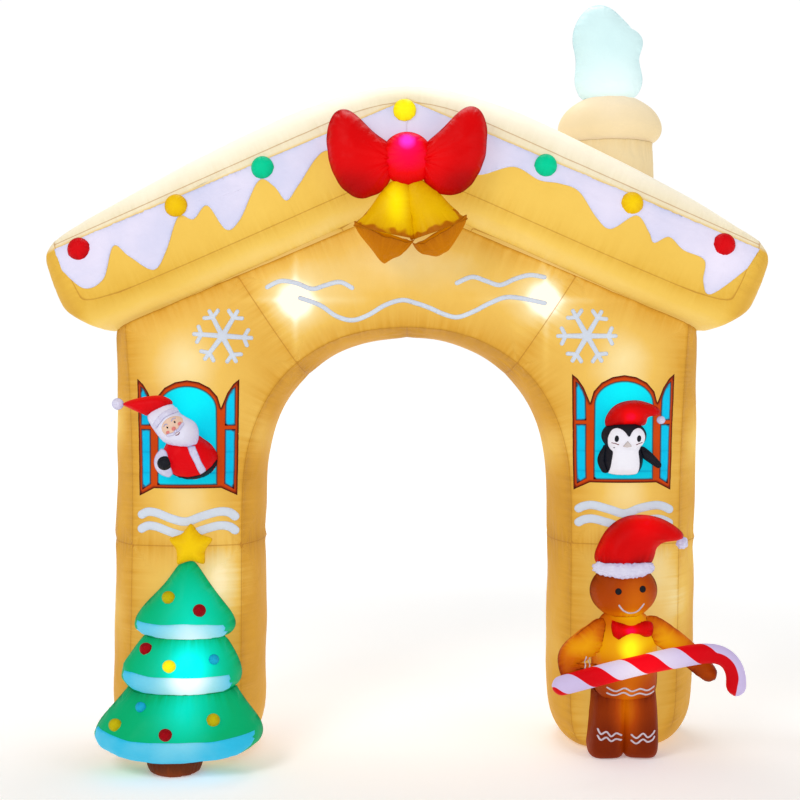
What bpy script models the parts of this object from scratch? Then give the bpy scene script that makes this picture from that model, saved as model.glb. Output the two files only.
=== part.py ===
"""Inflatable gingerbread-house arch, lit from inside, for a garden or a doorway.

Two columns and a gable make one air-filled arch.  A thick roof with icing and sweets sits on
it, with a bow and bells at the ridge and a chimney to the right.  A figure leans out of each
window, a fir tree stands at the left foot and a gingerbread man at the right one.

Metres.  +X is to the right, the front faces -Y and +Z is up.  The arch stands on z = 0 and the
origin is under the middle of the whole thing.
"""
import math

import bmesh
import bpy
from mathutils import Vector
from mathutils.bvhtree import BVHTree

# ---------------------------------------------------------------- driving dimensions
GAP = 0.0003                       # clearance between sewn pieces

ARCH_HALF = 0.655                  # seam of the opening, from the middle
ARCH_SPRING_Z = 1.02               # where the opening starts to curve
ARCH_RISE = 0.69                   # from there up to the crown seam
ARCH_SQUARENESS = 2.25             # 2 is an ellipse, more is boxier
COLUMN_OUTER = 1.088               # outer seam of a column at the foot
COLUMN_BULGE_X = 1.198             # how far the outer gussets swell
WALL_HALF = 0.24                   # half the depth between front and back seams
FRONT_BULGE = 0.055                # how far a front panel swells
THROAT_BULGE = 0.075               # how far the gussets swell into the passage
CROWN_BULGE = 0.040
COLUMN_SEAM_Z = 0.85               # the cross seam of a column
COLUMN_TOP_Z = 0.94                # the sections fan out from here
FOOT_HEIGHT = 0.20                 # the foot rounds off below this height
FOOT_INSET = 0.075
FOOT_SLACK = 0.55                  # share of the bulge that is gone where it stands
FOOT_SWAY = 0.09                   # the left foot stands this far forward, the right one back

SLOPE = math.radians(23)
GABLE_TOP_Z = 2.203                # tip of the wall, under the ridge
GABLE_CORNER_S = 1.221             # along the slope, from the tip to the eave corner

ROOF_HALF = 0.38                   # half the depth at the fascia's upper seam
ROOF_LOWER_HALF = 0.37             # and at its lower seam
SOFFIT_RISE = 0.098                # the lower seam stands this far above the wall joint
FASCIA_TOP = 0.365                 # the upper seam
ROOF_CROWN = 0.505                 # top of the roof's swell, at mid depth
FASCIA_BULGE = 0.026
ROOF_END_S = 1.335                 # the end panel starts here
SOFFIT_TAPER = 0.055               # the soffit is this much shorter at the wall
ROOF_TIP_S = 1.420                 # and swells out to here

ICING_THICKNESS = 0.006
WINDOW_THICKNESS = 0.0025
CANDY_RADIUS = 0.0445

COLUMN_X = (ARCH_HALF + COLUMN_OUTER) / 2
SET_BACK = 0.096                   # the tree and the bow reach forward, so the arch stands back

COLOURS = {
    "gold": (0.83, 0.47, 0.09), "cream": (0.90, 0.70, 0.38), "icing": (0.78, 0.76, 0.93),
    "red": (0.70, 0.01, 0.02), "yellow": (0.95, 0.60, 0.03), "green": (0.00, 0.33, 0.13),
    "smoke": (0.72, 0.93, 0.93), "pane": (0.00, 0.55, 0.80), "white": (0.88, 0.88, 0.92),
    "black": (0.01, 0.01, 0.015), "brown": (0.42, 0.14, 0.01), "blue": (0.02, 0.25, 0.70),
    "amber": (0.80, 0.33, 0.01),
}


# ---------------------------------------------------------------- general helpers
def clear_scene():
    for item in list(bpy.data.objects):
        bpy.data.objects.remove(item, do_unlink=True)


def fabric(colour):
    """A cloth material of one named colour, made once."""
    material = bpy.data.materials.get(colour)
    if material is None:
        material = bpy.data.materials.new(colour)
        material.use_nodes = True
        shader = material.node_tree.nodes["Principled BSDF"]
        shader.inputs["Base Color"].default_value = (*COLOURS[colour], 1)
        shader.inputs["Roughness"].default_value = 0.6
        shader.inputs["Metallic"].default_value = 0.0
    return material


def add_piece(name, shape, colour):
    """Turn a closed bmesh into a named object, its faces pointing out."""
    bmesh.ops.recalc_face_normals(shape, faces=shape.faces)
    bmesh.ops.triangulate(shape, faces=shape.faces)
    mesh = bpy.data.meshes.new(name)
    shape.to_mesh(mesh)
    shape.free()
    mesh.shade_smooth()
    mesh.set_sharp_from_angle(angle=math.radians(50))
    mesh.materials.append(fabric(colour))
    piece = bpy.data.objects.new(name, mesh)
    bpy.context.scene.collection.objects.link(piece)
    return piece


def bridge(shape, lower, upper):
    """Join two closed rings of the same count with quads."""
    count = len(lower)
    for i in range(count):
        j = (i + 1) % count
        shape.faces.new((lower[i], lower[j], upper[j], upper[i]))


def loft(rings):
    """A closed solid through rings of points, flat at both ends."""
    shape = bmesh.new()
    vertex_rings = [[shape.verts.new(point) for point in ring] for ring in rings]
    for lower, upper in zip(vertex_rings, vertex_rings[1:]):
        bridge(shape, lower, upper)
    shape.faces.new(vertex_rings[0])
    shape.faces.new(vertex_rings[-1])
    return shape


def smooth_loop(points, count):
    """Points evenly spaced along a closed smooth curve through the given ones."""
    fine = []
    total = len(points)
    for i in range(total):
        p0, p1, p2, p3 = (Vector(points[(i + k) % total]) for k in (-1, 0, 1, 2))
        for step in range(12):
            t = step / 12
            fine.append(0.5 * (2 * p1 + (p2 - p0) * t + (2 * p0 - 5 * p1 + 4 * p2 - p3) * t * t
                               + (3 * p1 - p0 - 3 * p2 + p3) * t ** 3))
    lengths = [0.0]
    for a, b in zip(fine, fine[1:] + fine[:1]):
        lengths.append(lengths[-1] + (b - a).length)
    loop, k = [], 0
    for i in range(count):
        target = lengths[-1] * i / count
        while lengths[k + 1] < target:
            k += 1
        t = (target - lengths[k]) / (lengths[k + 1] - lengths[k])
        loop.append(fine[k].lerp(fine[(k + 1) % len(fine)], t))
    return loop


def oval(centre, half_width, half_height, count=12):
    """An ellipse in the XZ plane, as (x, z) points."""
    angles = [math.tau * i / count for i in range(count)]
    return [(centre[0] + half_width * math.cos(a), centre[1] + half_height * math.sin(a))
            for a in angles]


FRONT_RINGS = (0.92, 0.72, 0.32)    # where the rings of a cushion lie, from the rim inwards
BACK_RINGS = (0.85, 0.40)
SMALL_RINGS = (0.84, 0.40)


def cushion(outline, spine, rim_y, front, back, rings=FRONT_RINGS, fullness=None):
    """A filled shape with a rim seam: the outline in (x, z), swollen to the front and the back.

    The rings shrink towards the spine, a line between two (x, z) points.  rim_y is the rim's
    plane, or a function of (x, z).  fullness scales the swell at a place.
    """
    start, end = (Vector(point) for point in spine)
    along = end - start
    targets = []
    for point in outline:
        t = 0.0
        if along.length > 0:
            t = min(1.0, max(0.0, (Vector(point) - start).dot(along) / along.length_squared))
        targets.append(start + along * t)
    shape = bmesh.new()

    def ring(scale, depth):
        row = []
        for point, target in zip(outline, targets):
            x, z = target.lerp(Vector(point), scale)
            swell = depth * math.sqrt(max(0.0, 1 - scale * scale))
            if fullness:
                swell *= fullness(x, z)
            base = rim_y(x, z) if callable(rim_y) else rim_y
            row.append(shape.verts.new((x, base + swell, z)))
        return row

    rim = ring(1.0, 0.0)
    for depth, scales in ((-front, rings), (back, BACK_RINGS)):
        last = rim
        for scale in scales:
            row = ring(scale, depth)
            bridge(shape, last, row)
            last = row
        shape.faces.new(last)
    return shape


def turned(profile, base, axis=(0, 0, 1), sides=24):
    """A solid of revolution: (radius, height) rows along an axis from a base point."""
    turn = Vector((0, 0, 1)).rotation_difference(Vector(axis)).to_matrix()
    rings = []
    for radius, height in profile:
        ring = []
        for i in range(sides):
            angle = math.tau * i / sides
            local = Vector((radius * math.cos(angle), radius * math.sin(angle), height))
            ring.append(Vector(base) + turn @ local)
        rings.append(ring)
    return loft(rings)


def tube(path, radii, sides=10):
    """A round limb along a path of 3-D points, with rounded ends."""
    points = [Vector(point) for point in path]
    stations = []
    for end, beyond in ((0, 1), (-1, -2)):
        outward = (points[end] - points[beyond]).normalized()
        caps = [(points[end] + outward * radii[end] * math.sin(a), radii[end] * math.cos(a))
                for a in (math.radians(75), math.radians(45), math.radians(20))]
        stations.append(caps)
    rows = stations[0] + list(zip(points, radii)) + stations[1][::-1]
    side = Vector((0, 1, 0))
    rings = []
    for i, (centre, radius) in enumerate(rows):
        before, after = rows[max(i - 1, 0)][0], rows[min(i + 1, len(rows) - 1)][0]
        forward = (after - before).normalized()
        side = (side - forward * side.dot(forward)).normalized()
        other = forward.cross(side)
        rings.append([centre + (side * math.cos(a) + other * math.sin(a)) * radius
                      for a in (math.tau * k / sides for k in range(sides))])
    return loft(rings)


def prism(outline, front_y, back_y):
    """The outline in (x, z) pushed through from front to back."""
    return loft([[(x, front_y, z) for x, z in outline], [(x, back_y, z) for x, z in outline]])


def grown_copy(host, distance):
    """A helper solid: the host with every face moved out by a distance."""
    shape = bmesh.new()
    shape.from_mesh(host.data)
    bmesh.ops.triangulate(shape, faces=shape.faces)
    shape.normal_update()
    moves = [vertex.normal * (distance * min(vertex.calc_shell_factor(), 1.6))
             for vertex in shape.verts]
    for vertex, move in zip(shape.verts, moves):
        vertex.co += move
    mesh = bpy.data.meshes.new("cutter")
    shape.to_mesh(mesh)
    shape.free()
    cutter = bpy.data.objects.new("cutter", mesh)
    bpy.context.scene.collection.objects.link(cutter)
    return cutter


def keep_largest_body(mesh):
    """Drop the slivers that a trim can leave between two hosts."""
    shape = bmesh.new()
    shape.from_mesh(mesh)
    waiting, bodies = set(shape.faces), []
    while waiting:
        body, front = set(), [waiting.pop()]
        while front:
            face = front.pop()
            body.add(face)
            for edge in face.edges:
                for other in edge.link_faces:
                    if other in waiting:
                        waiting.remove(other)
                        front.append(other)
        bodies.append(body)
    bodies.sort(key=lambda body: sum(face.calc_area() for face in body))
    scraps = [face for body in bodies[:-1] for face in body]
    bmesh.ops.delete(shape, geom=scraps, context="FACES")
    shape.to_mesh(mesh)
    shape.free()


def cut(piece, host, distance=GAP, operation="DIFFERENCE"):
    """Trim a piece against a host grown by a distance, and keep the result as its mesh."""
    cutter = grown_copy(host, distance)
    trim = piece.modifiers.new("trim", "BOOLEAN")
    trim.operation = operation
    trim.object = cutter
    evaluated = piece.evaluated_get(bpy.context.evaluated_depsgraph_get())
    mesh = bpy.data.meshes.new_from_object(evaluated)
    piece.modifiers.remove(trim)
    keep_largest_body(mesh)
    piece.data = mesh
    bpy.data.objects.remove(cutter, do_unlink=True)


def seat(piece, *hosts):
    """Sew a piece onto its hosts: it keeps GAP to each of them."""
    for host in hosts:
        cut(piece, host)
    return piece


def front_of(piece, x, z):
    """The y of a piece's front surface at a place."""
    corners = [vertex.co for vertex in piece.data.vertices]
    tree = BVHTree.FromPolygons(corners, [tuple(face.vertices) for face in piece.data.polygons])
    hit, _, _, _ = tree.ray_cast(Vector((x, -2.0, z)), Vector((0, 1, 0)))
    return hit.y


def applique(name, outline, host, thickness, colour):
    """A sheet of the given outline lying on the front of its host."""
    piece = add_piece(name, prism(outline, -0.70, 0.0), colour)
    cut(piece, host, GAP + thickness, "INTERSECT")
    cut(piece, host)
    return piece


def sway(x, z):
    """How far the uneven stance moves the arch back at a place."""
    return FOOT_SWAY * x / COLUMN_X * max(0.0, 1 - z / 1.7) ** 2


def column_front(x, z):
    """The swollen front of a column, in its middle."""
    return sway(x, z) - WALL_HALF - FRONT_BULGE


# ---------------------------------------------------------------- the arch wall
def swell(t):
    """The rounded profile of a panel between its seams, 0 to 1 and back to 0."""
    return (4 * t * (1 - t)) ** 0.8


def foot_inset(z):
    if z >= FOOT_HEIGHT:
        return 0.0
    return FOOT_INSET * (1 - math.sqrt(1 - (1 - z / FOOT_HEIGHT) ** 2))


def slope_point(s, h=0.0):
    """A place on the left half of the roof line: s down the slope, h square to it."""
    x = s * math.cos(SLOPE) + h * math.sin(SLOPE)
    return Vector((-x, GABLE_TOP_Z - s * math.sin(SLOPE) + h * math.cos(SLOPE)))


def wall_stations():
    """Sections of the left half, from the foot to the crown.

    Each holds the inner and outer seam points in (x, z), the way each gusset swells and by how
    much, and how far the seams lie from mid depth.
    """
    corner = slope_point(GABLE_CORNER_S)
    into_passage, away = Vector((1, 0)), Vector((-1, 0))
    rows = []
    for z in (0.0, 0.010, 0.035, 0.085, 0.15, 0.27, 0.42, 0.57, 0.72, COLUMN_SEAM_Z,
              COLUMN_TOP_Z):
        inset = foot_inset(z)
        slack = 1 - FOOT_SLACK * inset / FOOT_INSET
        rows.append(dict(
            inner=Vector((-ARCH_HALF - inset, z)), inner_way=into_passage,
            inner_swell=THROAT_BULGE * slack,
            outer=Vector((-COLUMN_OUTER + inset, z)), outer_way=away,
            outer_swell=(COLUMN_BULGE_X - COLUMN_OUTER) * slack,
            half=WALL_HALF - inset, front=FRONT_BULGE * slack * pinch(z, COLUMN_SEAM_Z)))
    side_length = corner.y - COLUMN_TOP_Z
    # angle round the opening, and how far the outer seam has come: below 1 it climbs the side,
    # above 1 it follows the gable up to 2 at the ridge
    arch_rows = ((0, 0.14), (9, 0.36), (18, 0.58), (27, 0.80), (36, 1.0), (41, 1.13), (46, 1.27),
                 (50.4, 1.40), (58, 1.52), (66, 1.65), (74, 1.77), (82, 1.89), (90, 2.0))
    for degrees, progress in arch_rows:
        angle = math.radians(degrees)
        power = 2 / ARCH_SQUARENESS
        across, up = math.cos(angle) ** power, math.sin(angle) ** power
        if degrees == 90:
            across = 0.0
        inner = Vector((-ARCH_HALF * across, ARCH_SPRING_Z + ARCH_RISE * up))
        if progress < 1:
            climb = progress * side_length
            lean = (-corner.x - COLUMN_OUTER) * progress ** 2
            outer, outer_way = Vector((-COLUMN_OUTER - lean, COLUMN_TOP_Z + climb)), away
            outer_swell = COLUMN_BULGE_X + outer.x
        else:
            outer = corner.lerp(Vector((0, GABLE_TOP_Z)), progress - 1)
            outer_way = Vector((-math.cos(SLOPE), -math.sin(SLOPE)))
            outer_swell = {1.0: 0.080, 1.13: 0.02}.get(progress, 0.0)
        centre = Vector((0, ARCH_SPRING_Z - 0.12))
        rows.append(dict(
            inner=inner, inner_way=(centre - inner).normalized(),
            inner_swell=THROAT_BULGE + (CROWN_BULGE - THROAT_BULGE) * (degrees / 90) ** 1.5,
            outer=outer, outer_way=outer_way, outer_swell=outer_swell, half=WALL_HALF,
            front=FRONT_BULGE * min(1.25, (inner - outer).length / 0.43) * pinch(degrees, 50.4, 5)))
    return rows


def pinch(place, seam, reach=0.06):
    """A cross seam holds the cloth down beside it."""
    return 1 - 0.30 * math.exp(-((place - seam) / reach) ** 2)


def wall_ring(row, mirror):
    """One section, round from the inner front seam and back to it."""
    points = []
    front_steps, gusset_steps = 6, 5
    inner, outer = row["inner"], row["outer"]
    for i in range(front_steps + 1):
        t = i / front_steps
        place = inner.lerp(outer, t)
        points.append((place.x, -row["half"] - row["front"] * swell(t), place.y))
    for i in range(1, gusset_steps):
        t = i / gusset_steps
        place = outer + row["outer_way"] * row["outer_swell"] * swell(t)
        points.append((place.x, row["half"] * (2 * t - 1), place.y))
    for i in range(front_steps + 1):
        t = 1 - i / front_steps
        place = inner.lerp(outer, t)
        points.append((place.x, row["half"] + row["front"] * swell(t), place.y))
    for i in range(1, gusset_steps):
        t = i / gusset_steps
        place = inner + row["inner_way"] * row["inner_swell"] * swell(t)
        points.append((place.x, row["half"] * (1 - 2 * t), place.y))
    side = -1 if mirror else 1
    return [(side * x, y + sway(side * x, z), z) for x, y, z in points]


def make_wall():
    rows = wall_stations()
    rings = [wall_ring(row, False) for row in rows]
    rings += [wall_ring(row, True) for row in rows[-2::-1]]
    return add_piece("wall", loft(rings), "gold")


# ---------------------------------------------------------------- the roof
def roof_section():
    """The roof's cross section as (y, h), round from the middle of its underside."""
    half = [(WALL_HALF, 0.0), (0.318, 0.040), (ROOF_LOWER_HALF, SOFFIT_RISE)]
    steps = 5
    for i in range(1, steps):
        t = i / steps
        y = ROOF_LOWER_HALF + (ROOF_HALF - ROOF_LOWER_HALF) * t + FASCIA_BULGE * swell(t)
        half.append((y, SOFFIT_RISE + (FASCIA_TOP - SOFFIT_RISE) * t))
    for degrees in (0, 14, 30, 48, 68):
        angle = math.radians(degrees)
        half.append((ROOF_HALF * math.cos(angle) ** 0.9,
                     FASCIA_TOP + (ROOF_CROWN - FASCIA_TOP) * math.sin(angle)))
    front = [(-y, h) for y, h in half]
    return [(0.0, 0.0)] + front + [(0.0, ROOF_CROWN)] + half[::-1]


def roof_ring(s, shrink, fullness, mirror, at_ridge=False):
    """The section at a place along the slope, shrunk about its middle.

    fullness is how much of the roof's swell above the fascia is left there.
    """
    side = -1 if mirror else 1
    middle_h = 0.20
    ring = []
    for y, h in roof_section():
        here = s
        if h > FASCIA_TOP:
            h = FASCIA_TOP + (h - FASCIA_TOP) * fullness
        if h < SOFFIT_RISE and s >= ROOF_END_S:
            here = s - SOFFIT_TAPER * (1 - h / SOFFIT_RISE)
        level = middle_h + (h - middle_h) * shrink
        if at_ridge:
            here = -level * math.tan(SLOPE)
        place = slope_point(here, level + GAP / 2)
        ring.append((side * (0.0 if at_ridge else place.x), y * (0.35 + 0.65 * shrink), place.y))
    return ring


def make_roof():
    # place along the slope, how much of the section and of the swell on top is left there
    rows = ((ROOF_TIP_S, 0.30, 0.10), (1.413, 0.62, 0.12), (1.395, 0.84, 0.15),
            (1.368, 0.95, 0.20), (ROOF_END_S, 1.0, 0.28), (1.22, 1.0, 0.52), (0.98, 1.0, 0.74),
            (0.74, 1.0, 0.88), (0.50, 1.0, 0.95), (0.27, 1.0, 1.0))
    rings = [roof_ring(*row, False) for row in rows]
    rings.append(roof_ring(0, 1.0, 0.62, False, at_ridge=True))
    rings += [roof_ring(*row, True) for row in rows[::-1]]
    return add_piece("roof", loft(rings), "cream")


# ---------------------------------------------------------------- icing and sweets
# lower edge of the icing, from the eave to the ridge: (s down the slope, h above the joint)
ICING_LEFT = ((1.335, 0.27), (1.285, 0.175), (1.20, 0.18), (1.115, 0.280), (1.075, 0.22),
              (1.01, 0.137), (0.93, 0.19), (0.84, 0.287), (0.79, 0.255), (0.72, 0.283),
              (0.69, 0.17), (0.62, 0.188), (0.50, 0.293), (0.453, 0.25), (0.43, 0.182),
              (0.36, 0.22), (0.22, 0.300), (0.13, 0.21))
ICING_RIGHT = ((1.315, 0.27), (1.23, 0.128), (1.18, 0.16), (1.15, 0.235), (1.06, 0.240),
               (0.99, 0.265), (0.945, 0.222), (0.91, 0.252), (0.84, 0.292), (0.77, 0.206),
               (0.70, 0.225), (0.60, 0.29), (0.52, 0.29), (0.44, 0.271), (0.33, 0.28),
               (0.22, 0.20), (0.12, 0.19))
ICING_TOP_H = 0.360
ICING_STEPS = 2                    # steps between two points of the edge


def icing_outline(edge, mirror):
    """The dripping strip between the upper seam and its wavy lower edge."""
    side = -1 if mirror else 1
    end_h = 0.20
    wave = []
    for i in range(len(edge) - 1):
        p0, p1, p2, p3 = (Vector(edge[min(max(i + k, 0), len(edge) - 1)]) for k in (-1, 0, 1, 2))
        for step in range(ICING_STEPS):
            t = step / ICING_STEPS
            wave.append(0.5 * (2 * p1 + (p2 - p0) * t + (2 * p0 - 5 * p1 + 4 * p2 - p3) * t * t
                               + (3 * p1 - p0 - 3 * p2 + p3) * t ** 3))
    wave.append(Vector(edge[-1]))
    flat = [slope_point(s, h) for s, h in wave]
    flat.append(Vector((-GAP, GABLE_TOP_Z + end_h / math.cos(SLOPE))))
    flat.append(Vector((-GAP, GABLE_TOP_Z + ICING_TOP_H / math.cos(SLOPE))))
    flat.append(slope_point(ROOF_END_S - 0.002, ICING_TOP_H))
    return [(side * place.x, place.y) for place in flat]


def make_icing(roof):
    left = applique("icing_left", icing_outline(ICING_LEFT, False), roof, ICING_THICKNESS, "icing")
    right = applique("icing_right", icing_outline(ICING_RIGHT, True), roof, ICING_THICKNESS,
                     "icing")
    return left, right


def make_candies(roof, icings):
    # place along the slope (minus is the left side), height above the joint, colour
    rows = ((-1.243, 0.322, "red"), (-0.831, 0.329, "yellow"), (-0.465, 0.334, "green"),
            (0.0, 0.320, "yellow"), (0.441, 0.333, "green"), (0.806, 0.328, "yellow"),
            (1.197, 0.321, "red"))
    candies = []
    for number, (s, h, colour) in enumerate(rows, start=1):
        place = slope_point(abs(s), h)
        if s == 0:
            place = Vector((-0.009, GABLE_TOP_Z + h / math.cos(SLOPE)))
        x = place.x if s <= 0 else -place.x
        shape = cushion(oval((x, place.y), CANDY_RADIUS, CANDY_RADIUS, 12), ((x, place.y),) * 2,
                        -ROOF_HALF - 0.022, 0.030, 0.03, rings=SMALL_RINGS)
        candies.append(seat(add_piece(f"candy_{number}", shape, colour), roof, *icings))
    return candies


# ---------------------------------------------------------------- chimney
CHIMNEY_X = 0.842
CHIMNEY_RADIUS = 0.176
CHIMNEY_TOP_Z = 2.475
CAP_TOP_Z = 2.658


def make_chimney(roof):
    base = (CHIMNEY_X, 0.0, 0.0)
    stack_rows = ((0.172, 2.13), (0.178, 2.20), (0.180, 2.38), (CHIMNEY_RADIUS, CHIMNEY_TOP_Z))
    stack = seat(add_piece("chimney_stack", turned(stack_rows, base, sides=22), "cream"), roof)
    foot = CHIMNEY_TOP_Z + GAP
    cap_rows = ((CHIMNEY_RADIUS, foot), (0.196, foot + 0.014), (0.210, foot + 0.036),
                (0.214, foot + 0.062), (0.205, foot + 0.095), (0.178, foot + 0.135),
                (0.140, foot + 0.162), (0.105, CAP_TOP_Z))
    cap = add_piece("chimney_cap", turned(cap_rows, base, sides=22), "cream")
    return stack, cap


def make_smoke(cap):
    # outline of the puff as (x, z), clockwise from its foot
    outline = ((0.755, 2.640), (0.700, 2.700), (0.697, 2.755), (0.708, 2.815), (0.688, 2.880),
               (0.695, 2.955), (0.745, 3.032), (0.800, 3.052), (0.860, 3.028), (0.915, 2.965),
               (0.978, 2.925), (0.976, 2.860), (0.948, 2.815), (0.977, 2.765), (0.970, 2.700),
               (0.905, 2.640))
    shape = cushion(smooth_loop(outline, 22), ((0.825, 2.74), (0.825, 2.93)), 0.0, 0.105, 0.105)
    return seat(add_piece("smoke", shape, "smoke"), cap)


# ---------------------------------------------------------------- bow and bells
BOW_Y = -0.455


def make_bow(roof, icings, candies):
    """Two full loops and a knot, sewn to the front of the ridge."""
    # the left loop as (x, z), round from the knot
    loop = ((-0.055, 2.310), (-0.075, 2.255), (-0.125, 2.215), (-0.190, 2.205), (-0.250, 2.245),
            (-0.292, 2.320), (-0.307, 2.410), (-0.300, 2.490), (-0.262, 2.545), (-0.205, 2.528),
            (-0.140, 2.466), (-0.075, 2.415), (-0.045, 2.370))
    knot_shape = cushion(oval((0.0, 2.356), 0.078, 0.102, 16), ((0.0, 2.34), (0.0, 2.37)),
                         BOW_Y - 0.012, 0.055, 0.065)
    knot = seat(add_piece("bow_knot", knot_shape, "red"), roof, *icings, *candies)
    loops = []
    for name, side, lift in (("bow_left", 1, 0.0), ("bow_right", -1, 0.016)):
        outline = [(side * x, z + lift * abs(x) / 0.3) for x, z in loop]

        def fullness(x, z):
            return 0.45 + 0.55 * min(1.0, abs(x) / 0.16)

        shape = cushion(smooth_loop(outline, 20), ((side * -0.10, 2.335), (side * -0.20, 2.375)),
                        BOW_Y, 0.085, 0.075, fullness=fullness)
        loops.append(seat(add_piece(name, shape, "red"), roof, knot, *icings, *candies))
    return knot, loops


def make_bells(wall, roof, knot, loops):
    """Two flared bells under the knot, each with its amber mouth."""
    # (radius, distance down from the neck)
    flare = ((0.020, 0.0), (0.034, 0.020), (0.048, 0.050), (0.060, 0.095), (0.068, 0.135),
             (0.082, 0.170), (0.097, 0.196), (0.099, 0.208))
    mouth = ((0.096, 0.208 + GAP), (0.088, 0.224), (0.068, 0.240), (0.036, 0.252), (0.016, 0.257))
    made = []
    # name, neck x, mouth x, mouth z
    for name, neck_x, mouth_x, mouth_z in (("left", -0.034, -0.092, 2.060),
                                           ("right", 0.040, 0.128, 2.080)):
        neck = Vector((neck_x, BOW_Y + 0.005, 2.275))
        axis = Vector((mouth_x, BOW_Y + 0.02, mouth_z)) - neck
        bell = add_piece(f"bell_{name}", turned(flare, neck, axis, 16), "yellow")
        seat(bell, wall, roof, knot, *loops, *made)
        base = add_piece(f"bell_mouth_{name}", turned(mouth, neck, axis, 16), "amber")
        seat(base, wall, roof, bell, *made)
        made += [bell, base]
    return made


# ---------------------------------------------------------------- windows
WINDOW_SILL = 1.077
WINDOW_HALF = 0.131
WINDOW_JOINT = 0.316               # from the sill to where a shutter's top meets the frame
WINDOW_RISE = 0.426                # from the sill to the top of the arch
SHUTTER_HALF = 0.204


def window_outline(centre_x, sill_z):
    """Frame with an arched head between two open shutters, as (x, z)."""
    loop = [(-WINDOW_HALF, 0.0), (-SHUTTER_HALF + 0.012, -0.032), (-SHUTTER_HALF, 0.430)]
    for t in (0.33, 0.66, 1.0):
        x = -SHUTTER_HALF + (SHUTTER_HALF - WINDOW_HALF) * t
        loop.append((x - 0.0015, 0.430 - (0.430 - WINDOW_JOINT) * t ** 1.7))
    for degrees in (24, 47, 69, 90, 111, 133, 156):
        angle = math.radians(degrees)
        loop.append((-WINDOW_HALF * math.cos(angle),
                     WINDOW_JOINT + (WINDOW_RISE - WINDOW_JOINT) * math.sin(angle)))
    for t in (1.0, 0.66, 0.33):
        x = SHUTTER_HALF - (SHUTTER_HALF - WINDOW_HALF) * t
        loop.append((x + 0.0015, 0.430 - (0.430 - WINDOW_JOINT) * t ** 1.7))
    loop += [(SHUTTER_HALF, 0.430), (SHUTTER_HALF - 0.010, -0.028), (WINDOW_HALF, 0.0)]
    return [(centre_x + x, sill_z + z) for x, z in loop]


def make_windows(wall):
    left = applique("window_left", window_outline(-0.866, WINDOW_SILL), wall, WINDOW_THICKNESS,
                    "pane")
    right = applique("window_right", window_outline(0.856, WINDOW_SILL + 0.020), wall,
                     WINDOW_THICKNESS, "pane")
    return left, right


# ---------------------------------------------------------------- the two small figures
def make_santa(wall, window):
    """A doll in a red coat leaning out of the left window."""
    y = column_front(-0.9, 1.25)
    body_line = ((-0.943, 1.262), (-0.966, 1.190), (-0.935, 1.140), (-0.855, 1.108),
                 (-0.775, 1.135), (-0.743, 1.193), (-0.765, 1.240), (-0.815, 1.285),
                 (-0.880, 1.300))
    body = add_piece("santa_body", cushion(smooth_loop(body_line, 18),
                     ((-0.88, 1.20), (-0.83, 1.19)), y, 0.105, 0.03, SMALL_RINGS), "red")
    seat(body, wall, window)
    head_line = ((-1.012, 1.366), (-0.960, 1.402), (-0.915, 1.415), (-0.878, 1.366),
                 (-0.824, 1.340), (-0.811, 1.290), (-0.826, 1.246), (-0.890, 1.245),
                 (-0.945, 1.262), (-0.985, 1.312))
    head = add_piece("santa_head", cushion(smooth_loop(head_line, 18),
                     ((-0.925, 1.345), (-0.880, 1.300)), y - 0.060, 0.080, 0.085, SMALL_RINGS),
                     "white")
    seat(head, wall, window, body)
    hat_line = ((-1.110, 1.412), (-1.048, 1.434), (-0.983, 1.445), (-0.945, 1.440),
                (-0.912, 1.416), (-0.955, 1.388), (-1.010, 1.364), (-1.060, 1.384))
    hat = add_piece("santa_hat", cushion(smooth_loop(hat_line, 18),
                    ((-1.04, 1.408), (-0.965, 1.412)), y - 0.045, 0.060, 0.060, SMALL_RINGS),
                    "red")
    seat(hat, wall, window, head)
    pompom = ball("santa_pompom", (-1.131, y - 0.040, 1.411), 0.024, "white")
    seat(pompom, wall, hat)
    cuff = add_piece("santa_cuff", cushion(oval((-0.936, 1.186), 0.031, 0.033, 12),
                     ((-0.936, 1.186),) * 2, y - 0.055, 0.022, 0.05, SMALL_RINGS), "white")
    seat(cuff, body, head, window, wall)
    mitten = ball("santa_mitten", (-0.936, y - 0.083, 1.186), 0.025, "black")
    seat(mitten, cuff, body)


def ball(name, centre, radius, colour, count=10):
    """A small stuffed ball."""
    x, y, z = centre
    shape = cushion(oval((x, z), radius, radius, count), ((x, z),) * 2, y, radius * 0.9,
                    radius * 0.9, SMALL_RINGS)
    return add_piece(name, shape, colour)


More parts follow.
